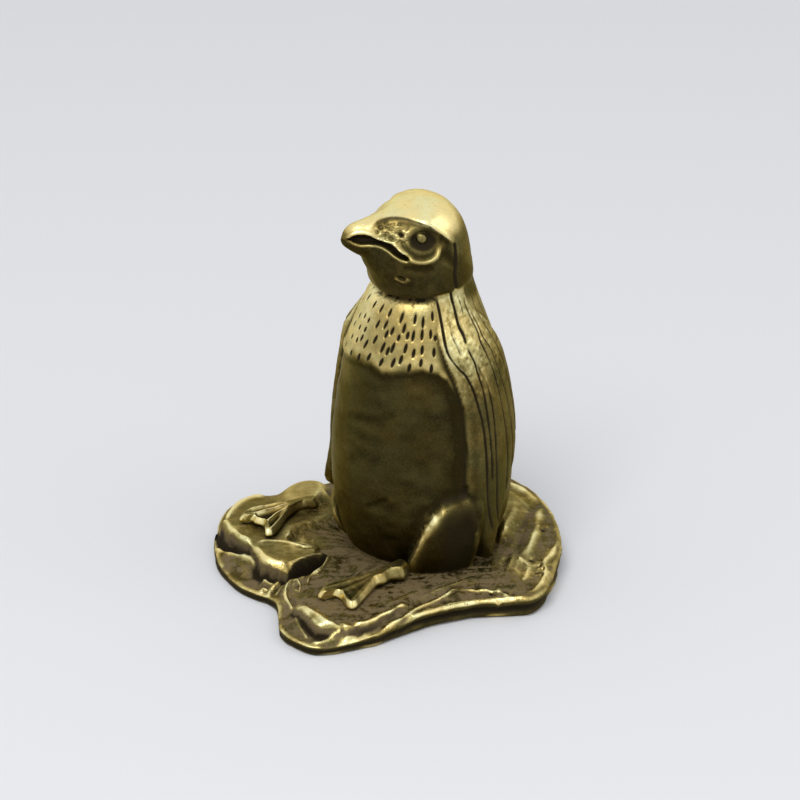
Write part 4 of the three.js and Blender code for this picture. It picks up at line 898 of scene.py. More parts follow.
# Folds: the side that drops away, 1 for the left of the line as it is drawn, -1 for the right and 0 for
# neither; the rise and half width of the lip; how far the level is carried; the crest's level; and the line
# in plan. Where a point has a third number, that is the crest's level there.
folds = [
    (-1, 0.26, 0.30, 1.0, 0, [(-16.3, -12.1, 3.4), (-16.0, -12.6, 3.6), (-15.0, -13.1, 3.7),
                              (-13.7, -13.8, 3.7), (-12.7, -14.0, 3.7), (-11.8, -14.2, 3.7),
                              (-10.6, -14.4, 3.7), (-9.8, -14.5, 3.6)]),
    (-1, 0.29, 0.40, 0.9, 0, [(-9.6, -14.4, 3.4), (-8.5, -15.0, 3.5), (-7.5, -15.45, 3.5),
                              (-6.6, -15.55, 3.5), (-5.8, -15.4, 3.5), (-5.2, -15.1, 3.5),
                              (-4.8, -14.5, 3.5)]),
    (-1, 0.15, 0.16, 0.7, 0, [(-4.9, -14.8, 3.5), (-4.5, -14.0, 3.5), (-4.2, -13.2, 3.5),
                              (-3.9, -12.1, 3.45), (-3.6, -11.3, 3.4), (-3.4, -10.5, 3.3)]),
    (1, 0.22, 0.28, 0.9, 3.5, [(-15.9, -12.4), (-16.5, -11.1), (-16.9, -9.6), (-17.1, -8.2),
                               (-16.8, -7.0), (-15.7, -6.3)]),
    (-1, 0.16, 0.17, 0.6, 0, [(-9.8, -14.2, 3.55), (-9.3, -13.2, 3.55), (-8.5, -12.4, 3.5),
                              (-7.5, -11.8, 3.5), (-6.5, -11.5, 3.45), (-5.6, -11.2, 3.35),
                              (-5.0, -10.5, 3.2), (-4.7, -9.9, 3.0)]),
    (1, 0.26, 0.25, 0.9, 0, [(-15.4, -14.6, 1.1), (-13.6, -15.2, 1.6), (-12.2, -15.4, 2.0),
                             (-11.0, -15.5, 2.3), (-10.2, -15.4, 2.4), (-9.5, -15.5, 2.4),
                             (-8.7, -15.8, 2.2), (-8.0, -16.1, 1.9), (-7.4, -16.4, 1.5)]),
    (0, 0.22, 0.15, 0.4, 0, [(-4.3, -18.2, 1.1), (-4.7, -17.4, 1.4), (-4.8, -16.7, 1.8),
                             (-4.6, -16.0, 2.1)]),
    (0, 0.16, 0.13, 0.3, 0, [(-6.4, -16.6, 1.7), (-5.5, -16.7, 1.7), (-4.9, -16.7, 1.7)]),
    (0, 0.16, 0.13, 0.3, 0, [(-5.3, -18.2, 1.1), (-5.6, -17.5, 1.3), (-5.0, -17.5, 1.3)]),
    (0, 0.20, 0.14, 0.3, 0, [(-3.8, -17.7, 1.1), (-3.9, -17.1, 1.3), (-4.0, -16.4, 1.6),
                             (-3.9, -15.8, 1.8)]),
    (1, 0.26, 0.22, 0.6, 0, [(-3.5, -15.8, 2.3), (-2.8, -17.1, 2.2), (-1.9, -18.0, 1.95),
                             (-0.9, -18.6, 1.85), (0.3, -19.3, 1.8)]),
    (0, 0.18, 0.14, 0.4, 0, [(-3.0, -16.3, 2.4), (-2.7, -15.6, 2.6), (-1.8, -16.1, 2.6), (-1.1, -16.9, 2.4),
                             (-2.0, -16.8, 2.3)]),
    (1, 0.22, 0.18, 0.8, 0, [(-1.3, -15.5, 2.5), (-1.9, -14.7, 2.6), (-2.2, -13.7, 2.7), (-2.2, -12.8, 2.8),
                             (-2.3, -12.1, 2.85), (-2.7, -11.2, 2.95), (-3.1, -10.3, 3.0)]),
    (0, 0.16, 0.15, 0.4, 0, [(1.0, -19.8, 1.7), (1.7, -20.2, 1.65), (2.5, -20.7, 1.5),
                             (3.6, -21.2, 1.4), (4.5, -21.6, 1.3)]),
    (0, 0.16, 0.20, 0.5, 0, [(5.0, -21.7, 1.2), (5.6, -21.4, 1.3), (6.0, -20.7, 1.4),
                             (6.3, -20.0, 1.5), (6.8, -18.9, 1.6)]),
    (-1, 0.34, 0.44, 1.1, 0, [(0.7, -18.7, 2.5), (2.0, -19.1, 2.8), (3.0, -19.3, 2.85),
                              (4.1, -19.5, 2.9), (5.2, -19.6, 2.85), (6.0, -19.4, 2.85),
                              (7.0, -18.7, 2.85), (7.5, -17.9, 2.85)]),
    (-1, 0.24, 0.25, 1.0, 2.85, [(7.2, -18.3), (7.6, -17.7), (8.0, -17.0), (8.2, -16.1), (8.2, -15.0),
                                 (8.4, -13.9), (8.5, -12.7), (8.6, -11.5)]),
    (0, 0.14, 0.16, 0.5, 0, [(8.0, -19.5, 1.2), (8.5, -18.7, 1.4), (8.9, -17.8, 1.5), (9.2, -16.6, 1.7)]),
    (-1, 0.24, 0.24, 0.9, 0, [(9.2, -16.2, 1.8), (9.3, -15.0, 2.0), (9.4, -14.0, 2.1),
                              (9.7, -13.0, 2.2), (9.7, -11.9, 2.3), (9.8, -10.6, 2.4),
                              (10.0, -9.7, 2.45), (10.2, -8.6, 2.5), (10.3, -7.5, 2.55),
                              (10.3, -6.5, 2.6), (10.8, -5.6, 2.6)]),
    (-1, 0.20, 0.19, 0.9, 0, [(10.4, -6.4, 2.55), (11.2, -5.7, 2.6), (11.8, -5.2, 2.6),
                              (12.4, -4.6, 2.6), (13.0, -4.0, 2.65), (13.7, -3.6, 2.65),
                              (14.4, -3.6, 2.6), (15.1, -3.7, 2.5)]),
    (0, 0.22, 0.32, 0.8, 0, [(15.9, -2.2, 2.4), (16.2, -1.0, 2.45), (15.9, 0.6, 2.5),
                             (15.1, 1.9, 2.55), (14.3, 3.0, 2.6), (13.6, 3.8, 2.7), (13.3, 4.9, 2.75),
                             (12.7, 6.4, 2.85), (12.3, 7.5, 2.9)]),
    (0, 0.10, 0.27, 0.6, 0, [(11.1, 2.2, 2.8), (11.6, 2.3, 2.85), (12.4, 2.2, 2.8), (13.0, 2.1, 2.75),
                             (13.3, 2.8, 2.7), (13.1, 3.6, 2.7)]),
    (0, 0.10, 0.26, 0.5, 0, [(13.1, 2.2, 2.75), (13.5, 1.2, 2.65), (14.0, 0.2, 2.6), (14.3, -0.8, 2.5)]),
    (-1, 0.14, 0.45, 0.9, 0, [(6.6, 11.6, 3.2), (8.1, 9.2, 3.1), (9.5, 7.0, 3.05), (10.8, 4.6, 3.0),
                              (11.6, 2.6, 2.9)]),
    (0, 0.07, 0.2, 0.5, 2.75, [(7.2, -13.4), (7.6, -11.6), (7.9, -9.8), (8.6, -7.8)]),
    (0, 0.06, 0.18, 0.5, 2.75, [(6.6, -15.2), (6.9, -13.4), (7.0, -11.8)]),
    (0, 0.07, 0.2, 0.5, 2.75, [(8.9, -10.2), (9.1, -8.4), (9.4, -6.8), (9.9, -4.8), (10.6, -2.8)]),
    (1, 0.24, 0.38, 1.0, 3.0, [(-10.8, 8.4), (-8.4, 10.2), (-5, 11.8), (-1.4, 13.0), (2.5, 13.2),
                               (6.0, 12.0)]),
    (1, 0.22, 0.32, 0.9, 2.8, [(-13.2, 3.2), (-12.0, 6.4), (-10.4, 8.8)]),
    (1, 0.20, 0.30, 0.8, 2.9, [(-9.6, 4.8), (-8.6, 8.0), (-6.2, 10.2)]),
    (-1, 0.20, 0.28, 0.8, 2.9, [(-6.9, 7.6), (-5.4, 9.9), (-3.4, 11.4)]),
]

# The hole between the two front leaves, in plan.
hole = [(-4.0, -15.2), (-4.15, -14.3), (-4.0, -13.4), (-3.7, -12.2), (-3.25, -10.7), (-2.75, -11.4),
        (-2.55, -12.5), (-2.5, -13.7), (-2.6, -14.5), (-3.1, -15.3), (-3.7, -15.9)]

# Pits: place in plan, radius, depth.
pits = [
    (13.2, -4.1, 0.45, 0.5), (12.2, -5.2, 0.4, 0.3), (14.2, -3.2, 0.4, 0.45), (15.0, -2.9, 0.3, 0.35),
    (14.7, -4.7, 0.2, 0.4), (10.8, -8.4, 0.3, 0.35), (13.7, 2.7, 0.2, 0.4), (14.3, 2.5, 0.2, 0.4),
    (14.3, 1.7, 0.25, 0.4), (15.0, 1.5, 0.2, 0.35), (12.3, 3.1, 0.3, 0.35), (9.6, 8.2, 0.3, 0.5),
    (-1.9, -16.3, 0.25, 0.3), (3.9, -22.0, 0.12, 0.3), (1.6, -21.6, 0.12, 0.3),
]


def insideBy(x, y, line, closed=False):
    # How far inside a line that ends where it starts, or is closed by the last argument; negative outside.
    return np.where(insideLine(x, y, line), 1, -1) * lineDistance(x, y, line, 60, closed)[0]


def levelAlong(x, y, line, margin):
    # For a line in space seen from above: the distance, how far along it is, the side, and the level there.
    away, along, side = lineDistance(x, y, line[:, :2], margin)
    share = np.concatenate([[0], np.cumsum(np.hypot(*np.diff(line[:, :2], axis=0).T))])
    return away, along, side, np.interp(along, share / share[-1], line[:, 2])


def rockTop(x, y):
    # Terraces first, each blended in by a smooth step at its edge. Then the level is the weighted mean of
    # theirs, the rim's and each fold's crest less its lip, weighted by a bell of the distance, which is
    # narrow on the side that drops away. The hump, striae and roughness are added, then the lips as bells
    # across the folds, and bells for the pits are taken away; the hole and the seat are flat.
    look = rockLook
    z = np.full(np.shape(x), look["level"])
    around = np.stack([x, y, 0 * x], -1)
    uneven = look["ragged"] * (lumps(around, 0.8, 63) + 0.5 * lumps(around, 0.4, 64))
    parts = []
    for level, slope, outline in terraces:
        inner = insideBy(x, y, smoothLine(outline + outline[:1], 3)) + uneven
        eased = 1 + 3 * smoothStep(-11.5, -9, y) * smoothStep(-12.5, -9.5, x) * smoothStep(-4, -6, x)
        parts.append(smoothStep(-slope * eased / 2, slope * eased / 2, inner))
        z = z + (level - z) * parts[-1]
    rimAway, _, _, rimLevel = levelAlong(x, y, smoothLine(rockRim + rockRim[:1], 3), 60)
    share = 1.4 * bell(rimAway, 1.1)
    weight, total = 0.3 + share, 0.3 * z + share * rimLevel
    lips, bright = np.zeros(np.shape(x)), np.zeros(np.shape(x))
    for number, (dropSide, lip, width, reach, crest, points) in enumerate(folds):
        line = np.array([(*point, crest)[:3] for point in points])
        away, along, side, level = levelAlong(x, y, smoothLine(line), 3.5)
        wobble = 0.25 * lumps(around, 1.1, 62 + number % 6)
        ends = smoothStep(-0.03, 0.15, along) * smoothStep(1.03, 0.85, along)
        share = 2.5 * bell(away, np.where(side == dropSide, max(0.3, 1.3 * width), reach)) * ends
        weight, total = weight + share, total + share * (level - lip)
        lips = np.maximum(lips, lip * bell(away, width * (1 + wobble)) * ends * (1 + wobble))
        seen = width * np.where(side == dropSide, 0.8 + 5 * max(0, lip - 0.2), 1.2) * (1 + wobble)
        shown = min(1, lip / 0.24) * bell(away, seen) * ends
        bright = np.maximum(bright, shown * np.clip(0.7 + 2.4 * wobble, 0.2, 1))
    z = total / weight
    (mx, my), (hx, hy), turn = hump["middle"], hump["half"], math.radians(hump["turn"])
    u = ((x - mx) * math.cos(turn) + (y - my) * math.sin(turn)) / hx
    v = ((y - my) * math.cos(turn) - (x - mx) * math.sin(turn)) / hy
    dome = smoothStep(1.05, 0.45, np.hypot(u, v) + 0.08 * lumps(around, 1.8, 59))
    z = z + np.clip(hump["level"] - z, 0, None) * dome
    back, off = 0.89 * y - 0.45 * x, 0.89 * x + 0.45 * y  # along and across the striae by the left flipper
    striae = lumps(np.stack([back * 0.16, off, 0 * x], -1), 0.62, 70)
    striae = striae * smoothStep(-2.5, 1.0, y) * smoothStep(4, 7, x)
    z = z + look["striae"] * striae * smoothStep(0.2, 1.0, rimAway)
    z = z + look["rough"] * lumps(around, 2.4, 60) + 0.4 * look["rough"] * lumps(around, 1.0, 61) + lips
    for px, py, radius, depth in pits:
        z = z - depth * bell(np.hypot(x - px, y - py), radius)
    inHole = insideBy(x, y, hole, True)
    z = z + (look["holeFloor"] - z) * smoothStep(-0.1, 0.3, inHole)
    clear = smoothStep(0.78, 0.98, np.hypot(x, y) / look["seatRadius"])
    z = look["seat"] + (z - look["seat"]) * clear
    marks = {
        "crest": bright * clear, "hole": smoothStep(-0.4, -0.1, inHole), "dome": dome, "rim": rimAway,
        "ledge": parts[0], "leaf": parts[1], "block": parts[3],
    }
    return np.maximum(z, np.where(inHole > -0.3, look["holeFloor"] - 0.05, look["least"])), marks


# The rock's wall from its foot up, as (inset, share of the height): a groove runs round its middle.
rockWall = [
    (0.85, 0.0), (0.6, 0.03), (0.4, 0.09), (0.32, 0.17), (0.42, 0.25), (0.66, 0.33), (0.76, 0.41),
    (0.66, 0.5), (0.4, 0.58), (0.16, 0.66), (0.04, 0.74), (0.0, 0.81), (0.03, 0.87), (0.1, 0.92),
    (0.2, 0.96), (0.32, 0.985), (0.46, 1.0),
]


def rockSkin():
    # The slab over the rim's outline. The wall's groove is partly filled by lumps, and wholly where the
    # rock is thin, and the wall is drawn in everywhere by the size of two more sets of lumps.
    rim = closedOutline([point[:2] for point in rockRim], rockLook["columns"])
    shares = np.concatenate([np.linspace(0.992, 0.42, 108), np.linspace(0.39, 0.03, 8)])
    points, marks = slabSkin(rim, rockLook["spine"], rockWall, shares, rockTop, 0.0)
    wavy = lumps(points * np.array([1, 1, 1.4]), 1.6, 80) * 0.14 + lumps(points, 0.7, 81) * 0.05
    outwards = points[..., :2] / np.linalg.norm(points[..., :2], axis=-1, keepdims=True)
    insets = [inset if 0.09 < share < 0.8 else 0.0 for inset, share in rockWall]
    groove = np.array([0.0] * len(undersideRings) + insets + [0.0] * len(shares))
    filled = np.clip(0.45 - 0.8 * lumps(points, 3.4, 82)[12], 0, 1)
    filled = 1 - (1 - filled) * smoothStep(1.2, 2.1, points[len(rockWall), :, 2])
    points[..., :2] += outwards * (groove[:, None] * filled)[..., None]
    onWall = smoothStep(0.0, 0.3, points[..., 2]) * (wallRowNumber(points) < len(rockWall))
    points[..., :2] -= outwards * (np.abs(wavy) * onWall)[..., None]
    return points, marks


# How bright the rock's parts are, by wear and by painted highlight, and how brown and black the rest is, by
# patina and by painted shade, from 0 to 1.
rockWearAndLight = {
    "base": 0.24,
    "golden": 0.16,
    "dome": 0.12,
    "crest": 0.85,
    "patch": 0.42,
    "glints": 0.2,
    "wrinkles": 0.4,
    "rimEdge": 0.75,
    "wall": 0.2,
    "lowLip": 0.6,
    "earth": 0.62,
    "steepEarthAndShade": 0.8,
    "steepShade": 0.62,
    "wallShade": 0.3,
}


def rockPaint(points, marks):
    # The three paints as sums of masks: bells round places and along the rim and folds, smooth steps of how
    # steep and how far up the wall a point is, and lumps that break them all up. The steep faces, the wall,
    # the hole and the broad hollows are darkened as painted shade, and the rim's edge is worn bright and a
    # painted highlight.
    wear = rockWearAndLight
    x, y, height = points[..., 0], points[..., 1], points[..., 2]
    fine = height - blurOn(points, height, 0.4)
    broad = height - blurOn(points, height, 1.5)
    rowNumber = wallRowNumber(points)
    isWall = smoothStep(12.5, 9.5, rowNumber)
    steep = smoothStep(0.75, 0.4, np.abs(normalsOf(points)[..., 2])) * (rowNumber > len(rockWall))
    mottled = lumps(points, 1.9, 90) * 0.5 + lumps(points, 0.6, 91) * 0.35
    turned = points @ np.array([[0.67, 0.74, 0], [-0.74, 0.67, 0], [0, 0, 1]]).T
    streaks = lumps(turned * np.array([0.25, 1.6, 1]), 0.5, 92)

    # the rim's edge, worn bright and a painted highlight
    rimWidth = 0.34 + 0.2 * np.clip(lumps(points, 1.9, 95), -1, 1) + 0.16 * bell(x - 12, 4) * (y < -2)
    rimEdge = bell(marks["rim"], rimWidth) * (rowNumber > 11)
    rimEdge = rimEdge * np.clip(0.72 + 0.9 * lumps(points, 1.6, 93) + 0.4 * lumps(points, 0.5, 94), 0.1, 1)
    rimEdge = rimEdge * (1 - 0.75 * smoothStep(-3, 0, y) * smoothStep(8, 13, x))
    golden = bell(np.hypot(x + 6.8, y + 10.6), 2.6) + 0.7 * marks["ledge"] + marks["dome"]
    golden = golden + 0.9 * marks["block"] + smoothStep(0.35, 0.8, mottled + 0.3 * streaks)
    golden = np.clip(golden, 0, 1) * (1 - 0.55 * marks["leaf"])
    crest = np.clip(marks["crest"] * (1 - 0.5 * steep) + 0.35 * np.clip(fine / 0.09, 0, 1), 0, 1)
    patch = bell(np.hypot(x - 12.6, y - 1.4), 2.2) * np.clip(0.7 + mottled, 0, 1)
    glints = smoothStep(0.45, 0.8, lumps(points, 0.42, 96)) * (1 - steep)
    glints = glints * (1 - marks["dome"]) * (1 - 0.8 * marks["ledge"])
    wrinkles = np.clip(1 - 3.2 * np.abs(lumps(points, 0.75, 97)), 0, 1)
    wrinkles = wrinkles * bell(np.hypot(x + 6.9, y + 10.9), 2.0)
    lowLip = smoothStep(-0.1, 0.5, lumps(points * np.array([0.5, 0.5, 1]), 1.2, 83)) * smoothStep(4, 8, x)
    lowLip = lowLip * bell(rowNumber - 3, 1.5)

    polish = wear["base"] + wear["golden"] * golden + wear["dome"] * marks["dome"] + wear["crest"] * crest
    polish = polish + wear["patch"] * patch + wear["glints"] * glints + wear["wrinkles"] * wrinkles
    polish = polish + wear["rimEdge"] * rimEdge * (0.85 + 0.5 * mottled) * (1 - isWall)
    polish = polish + 0.12 * mottled + 0.06 * streaks
    polish = polish - 0.3 * crest * np.clip(lumps(points, 0.5, 98) + 0.5 * mottled, 0, 1)
    # steep faces darker as painted shade
    polish = polish * (1 - 0.6 * steep * (1 - crest)) * (1 - isWall)
    polish = polish + isWall * (wear["wall"] + 0.15 * mottled)
    polish = np.clip(np.clip(polish, 0, 1) + wear["lowLip"] * lowLip, 0, 1)

    earth = wear["earth"] - 1.3 * crest - 0.9 * rimEdge - 0.6 * golden + 0.4 * mottled + 0.25 * streaks
    # more earth on steep faces, partly patina and partly painted shade
    earth = earth + 0.25 * lumps(points, 0.3, 99) + wear["steepEarthAndShade"] * steep * (1 - 0.8 * crest)
    earth = earth - 0.6 * patch - 0.5 * glints - 0.5 * wrinkles
    earth = np.clip(earth, 0, 1) * (1 - isWall) * (1 - marks["block"])

    # patina in small hollows and painted shade in broad ones
    soot = np.clip(-fine / 0.16, 0, 1) * 0.6 + np.clip(-broad / 0.6, 0, 1) * 0.5 - 0.1
    frontLobe = bell(np.hypot(x - 3.0, y + 19.5), 3.6)
    # painted shade on the steep faces
    shadeOnSteep = (wear["steepShade"] + 0.3 * mottled) * steep * (1 - 0.9 * crest) * (1 - 0.7 * frontLobe)
    soot = np.maximum(np.clip(soot, 0, 1), shadeOnSteep)
    # painted shade on the wall, darkest in its groove
    soot = np.maximum(soot, isWall * (wear["wallShade"] + 0.6 * bell(rowNumber - 6.5, 2.4)) * (1 - lowLip))
    # painted shade in the hole
    soot = np.maximum(soot, marks["hole"] * (1 - 0.8 * crest))
    return {"polish": polish, "soot": soot, "earth": earth}


points, marks = rockSkin()
rock = closedPiece("rock_leaf", points, rockPaint(points, marks))
print("rock:", len(rock.data.vertices), "points")

# The feet.
footLook = {
    "toe": 0.95,  # the height of the toes over the pad's level
    "ridge": 0.31,  # half the width of the ridge on each toe
    "sunk": 0.25,  # how far it goes down into the rock
    "columns": 300,
}

leftFoot = {
    "outline": [(3.9, -7.6), (3.6, -9.0), (3.2, -10.4), (2.8, -11.4), (2.3, -12.5), (1.7, -13.4),
                (1.2, -14.3), (1.05, -15.2), (1.15, -16.3), (1.6, -17.1), (2.1, -17.2), (2.4, -16.6),
                (2.7, -16.1), (3.2, -15.95), (3.9, -16.1), (4.7, -16.5), (5.3, -16.75), (5.85, -16.65),
                (5.95, -16.0), (5.6, -14.9), (5.2, -13.5), (4.85, -12.3), (4.75, -11.5), (5.1, -10.9),
                (5.05, -10.1), (5.4, -9.5), (5.9, -9.1), (5.7, -8.3), (5.0, -7.3)],
    "spine": ((4.7, -8.6), (3.4, -14.9)),
    "pad": 2.75,
    "ankle": 1.6,
    "toes": [
        ((4.2, -9.8), (1.7, -16.8)),
        ((4.4, -9.8), (3.4, -15.9)),
        ((4.9, -9.6), (4.7, -11.6), (5.7, -16.3)),
    ],
    "hollow": 0.14,
    "shine": 0.08,
}
rightFoot = {
    "outline": [(-9.2, -12.3), (-9.35, -11.5), (-9.8, -10.3), (-10.5, -8.7), (-10.8, -7.6),
                (-10.8, -6.6), (-10.4, -5.6), (-9.9, -4.8), (-10.6, -4.1), (-11.7, -5.1),
                (-12.3, -6.4), (-12.9, -7.6), (-13.4, -8.5), (-14.0, -9.5), (-14.4, -10.6),
                (-14.3, -11.6), (-13.8, -12.4), (-13.3, -12.1), (-12.9, -11.6), (-12.2, -11.75),
                (-11.4, -11.6), (-10.8, -11.8), (-10.3, -12.2), (-9.9, -12.7), (-9.5, -12.8)],
    "spine": ((-11.1, -6.0), (-11.9, -10.2)),
    "pad": 3.5,
    "ankle": 1.05,
    "toes": [
        ((-10.9, -6.4), (-11.0, -7.6), (-10.1, -10.0), (-9.4, -12.3)),
        ((-11.2, -7.2), (-11.3, -9.6), (-10.8, -11.6)),
        ((-11.4, -6.6), (-12.1, -8.6), (-12.8, -10.6), (-13.4, -11.8)),
        ((-12.2, -7.2), (-13.4, -9.2), (-14.0, -10.9)),
    ],
    "hollow": 0.7,
    "shine": 0.75,
}


# A foot's wall from its lowest ring up, as (inset, share of the height).
footWall = [
    (0.5, 0.0), (0.42, 0.1), (0.34, 0.2), (0.2, 0.27), (0.06, 0.33), (0.0, 0.4), (0.0, 0.48), (0.05, 0.57),
    (0.13, 0.67), (0.21, 0.77), (0.3, 0.86), (0.39, 0.93), (0.49, 0.98), (0.6, 1.0),
]


def footTop(foot):
    # The top slopes by a smooth step from the ankle to the toes. A bell-shaped ridge runs out along each
    # toe, and the web between them is hollowed.
    (hx, hy), (tx, ty) = foot["spine"]
    length = math.hypot(tx - hx, ty - hy)

    def top(x, y):
        down = np.clip(((x - hx) * (tx - hx) + (y - hy) * (ty - hy)) / length**2, -0.2, 1.6)
        z = foot["pad"] + foot["ankle"] + (footLook["toe"] - foot["ankle"]) * smoothStep(-0.1, 1.0, down)
        ridges = 0
        for toe in foot["toes"]:
            ridges = np.maximum(ridges, bell(lineDistance(x, y, toe)[0], footLook["ridge"]))
        edgeAway = lineDistance(x, y, foot["outline"], 3, True)[0]
        web = smoothStep(0.2, 0.6, down) * smoothStep(0.3, 0.85, edgeAway)
        marks = {"ridges": ridges, "web": web, "fore": smoothStep(0.25, 0.6, down)}
        return z + foot["hollow"] * (ridges - 1) * web, marks

    return top


def footPaint(foot, outline, points, marks):
    # Bright on the front of the toes as painted highlight, by how far the outline faces that way, and along
    # the ridges; black under the edge as painted shadow, and in the web.
    height = points[..., 2]
    fine = height - blurOn(points, height, 0.3)
    rowNumber = wallRowNumber(points)
    along = np.roll(outline, -1, axis=0) - np.roll(outline, 1, axis=0)
    outwards = np.stack([along[:, 1], -along[:, 0]], -1) / np.hypot(*along.T)[:, None]
    # painted highlight on the walls that face forwards and to the bird's left
    facing = smoothStep(-0.1, 0.55, outwards @ np.array([0.5, -0.86]))[None, :]
    face = bell(rowNumber - 8.5, 4.6) * facing * (0.15 + 0.85 * marks["fore"])
    mottled = lumps(points, 0.8, 97) * 0.6 + lumps(points, 0.35, 98) * 0.4
    web = marks["web"] * (1 - marks["ridges"])
    polish = 0.36 + 0.55 * face - 0.16 * web + foot["shine"] * marks["ridges"] * marks["web"]
    polish = np.clip(polish + 1.6 * fine + 0.1 * mottled, 0, 1)
    # painted shadow under the foot's edge
    under = smoothStep(4.0, 1.5, rowNumber)
    soot = np.maximum(0.9 * under, np.clip(1.4 * foot["hollow"] * web - 0.1 + 0.15 * mottled, 0, 0.8))
    earth = np.clip(0.45 * smoothStep(0.1, 0.6, mottled) * (1 - face), 0, 1)
    return {"polish": polish, "soot": soot, "earth": earth}


def footPiece(name, foot):
    # The slab over the foot's outline, made uneven by two sets of lumps.
    outline = closedOutline(foot["outline"], footLook["columns"])
    shares = np.linspace(0.97, 0.03, 34)
    floor = foot["pad"] - footLook["sunk"]
    points, marks = slabSkin(outline, foot["spine"], footWall, shares, footTop(foot), floor)
    points[..., 2] += 0.05 * lumps(points, 0.9, 95) + 0.02 * lumps(points, 0.4, 96)
    return closedPiece(name, points, footPaint(foot, outline, points, marks))


feet = [footPiece("bird_left_foot", leftFoot), footPiece("bird_right_foot", rightFoot)]
for piece, node in zip(feet, ("left_foot", "right_foot")):
    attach(piece, "root")
    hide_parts(node)
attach(rock, "root")
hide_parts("rock")
print("feet made")


class Socket:
    # A node's output that can be written in sums; each operator adds a Math node.
    def __init__(self, tree, socket):
        self.tree, self.socket = tree, socket

    def math(self, operation, *values):
        return self.tree.node("ShaderNodeMath", {"operation": operation}, dict(enumerate(values)))

    def __add__(self, other):
        return self.math("ADD", self, other)

    def __sub__(self, other):
        return self.math("SUBTRACT", self, other)

    def __rsub__(self, other):
        return self.math("SUBTRACT", other, self)

    def __mul__(self, other):
        return self.math("MULTIPLY", self, other)

    __radd__ = __add__
    __rmul__ = __mul__

    def between(self, low, high):
        sockets = {"Value": self, "From Min": low, "From Max": high}
        return self.tree.node("ShaderNodeMapRange", {"interpolation_type": "SMOOTHSTEP"}, sockets)


class Finish:
    # A material's node tree: node() adds one of any type, from its settings and its sockets' values.
    def __init__(self, name):
        self.material = bpy.data.materials.new(name)
        self.material.use_nodes = True
        self.nodes = self.material.node_tree.nodes
        self.links = self.material.node_tree.links
        self.surface = self.nodes["Principled BSDF"]

    def node(self, kind, settings=None, sockets=None, output=0):
        made = self.nodes.new(kind)
        for setting, value in (settings or {}).items():
            if setting == "stops":
                ramp = made.color_ramp
                while len(ramp.elements) < len(value):
                    ramp.elements.new(0.5)
                for element, (place, colour) in zip(ramp.elements, value):
                    element.position, element.color = place, (*colour, 1)
            else:
                setattr(made, setting, value)
        for name, value in (sockets or {}).items():
            self.put(made.inputs[name], value)
        return Socket(self, made.outputs[output])

    def paint(self, name):
        # The value that was painted on the mesh under this name.
        return self.node("ShaderNodeAttribute", {"attribute_name": name}, output=2)

    def noise(self, place, scale, detail):
        # Cloudy noise with this many cells to the metre.
        return self.node("ShaderNodeTexNoise", None, {"Vector": place, "Scale": scale, "Detail": detail})

    def put(self, socket, value):
        if isinstance(value, Socket):
            self.links.new(value.socket, socket)
        elif socket.type == "RGBA" and isinstance(value, tuple) and len(value) == 3:
            socket.default_value = (*value, 1)
        else:
            socket.default_value = value

    def set(self, name, value):
        self.put(self.surface.inputs[name], value)

    def mix(self, share, low, high):
        # One colour at share 0 and the other at 1; a Mix node's colours are its sockets 6, 7 and 2.
        made = self.nodes.new("ShaderNodeMix")
        made.data_type = "RGBA"
        self.put(made.inputs[0], share)
        self.put(made.inputs[6], low)
        self.put(made.inputs[7], high)
        return Socket(self, made.outputs[2])


brassLook = {
    "ramp": [(0.0, (0.026, 0.02, 0.0065)), (0.2, (0.075, 0.06, 0.019)), (0.4, (0.19, 0.15, 0.05)),
             (0.65, (0.44, 0.36, 0.14)), (1.0, (0.86, 0.76, 0.38))],
    # the near black of the fill in cuts and of painted shade
    "soot": (0.016, 0.011, 0.005),
    "earth": (0.175, 0.127, 0.064),
    "edgeTint": (0.9, 0.8, 0.5),
    "shine": 0.22,
    "pits": 5200,  # per metre
    "mottle": 900,
    "drift": 330,
    "figureBump": (0.5, 0.00006),  # strength, metres
    "rockBump": (1.0, 0.0001),
}


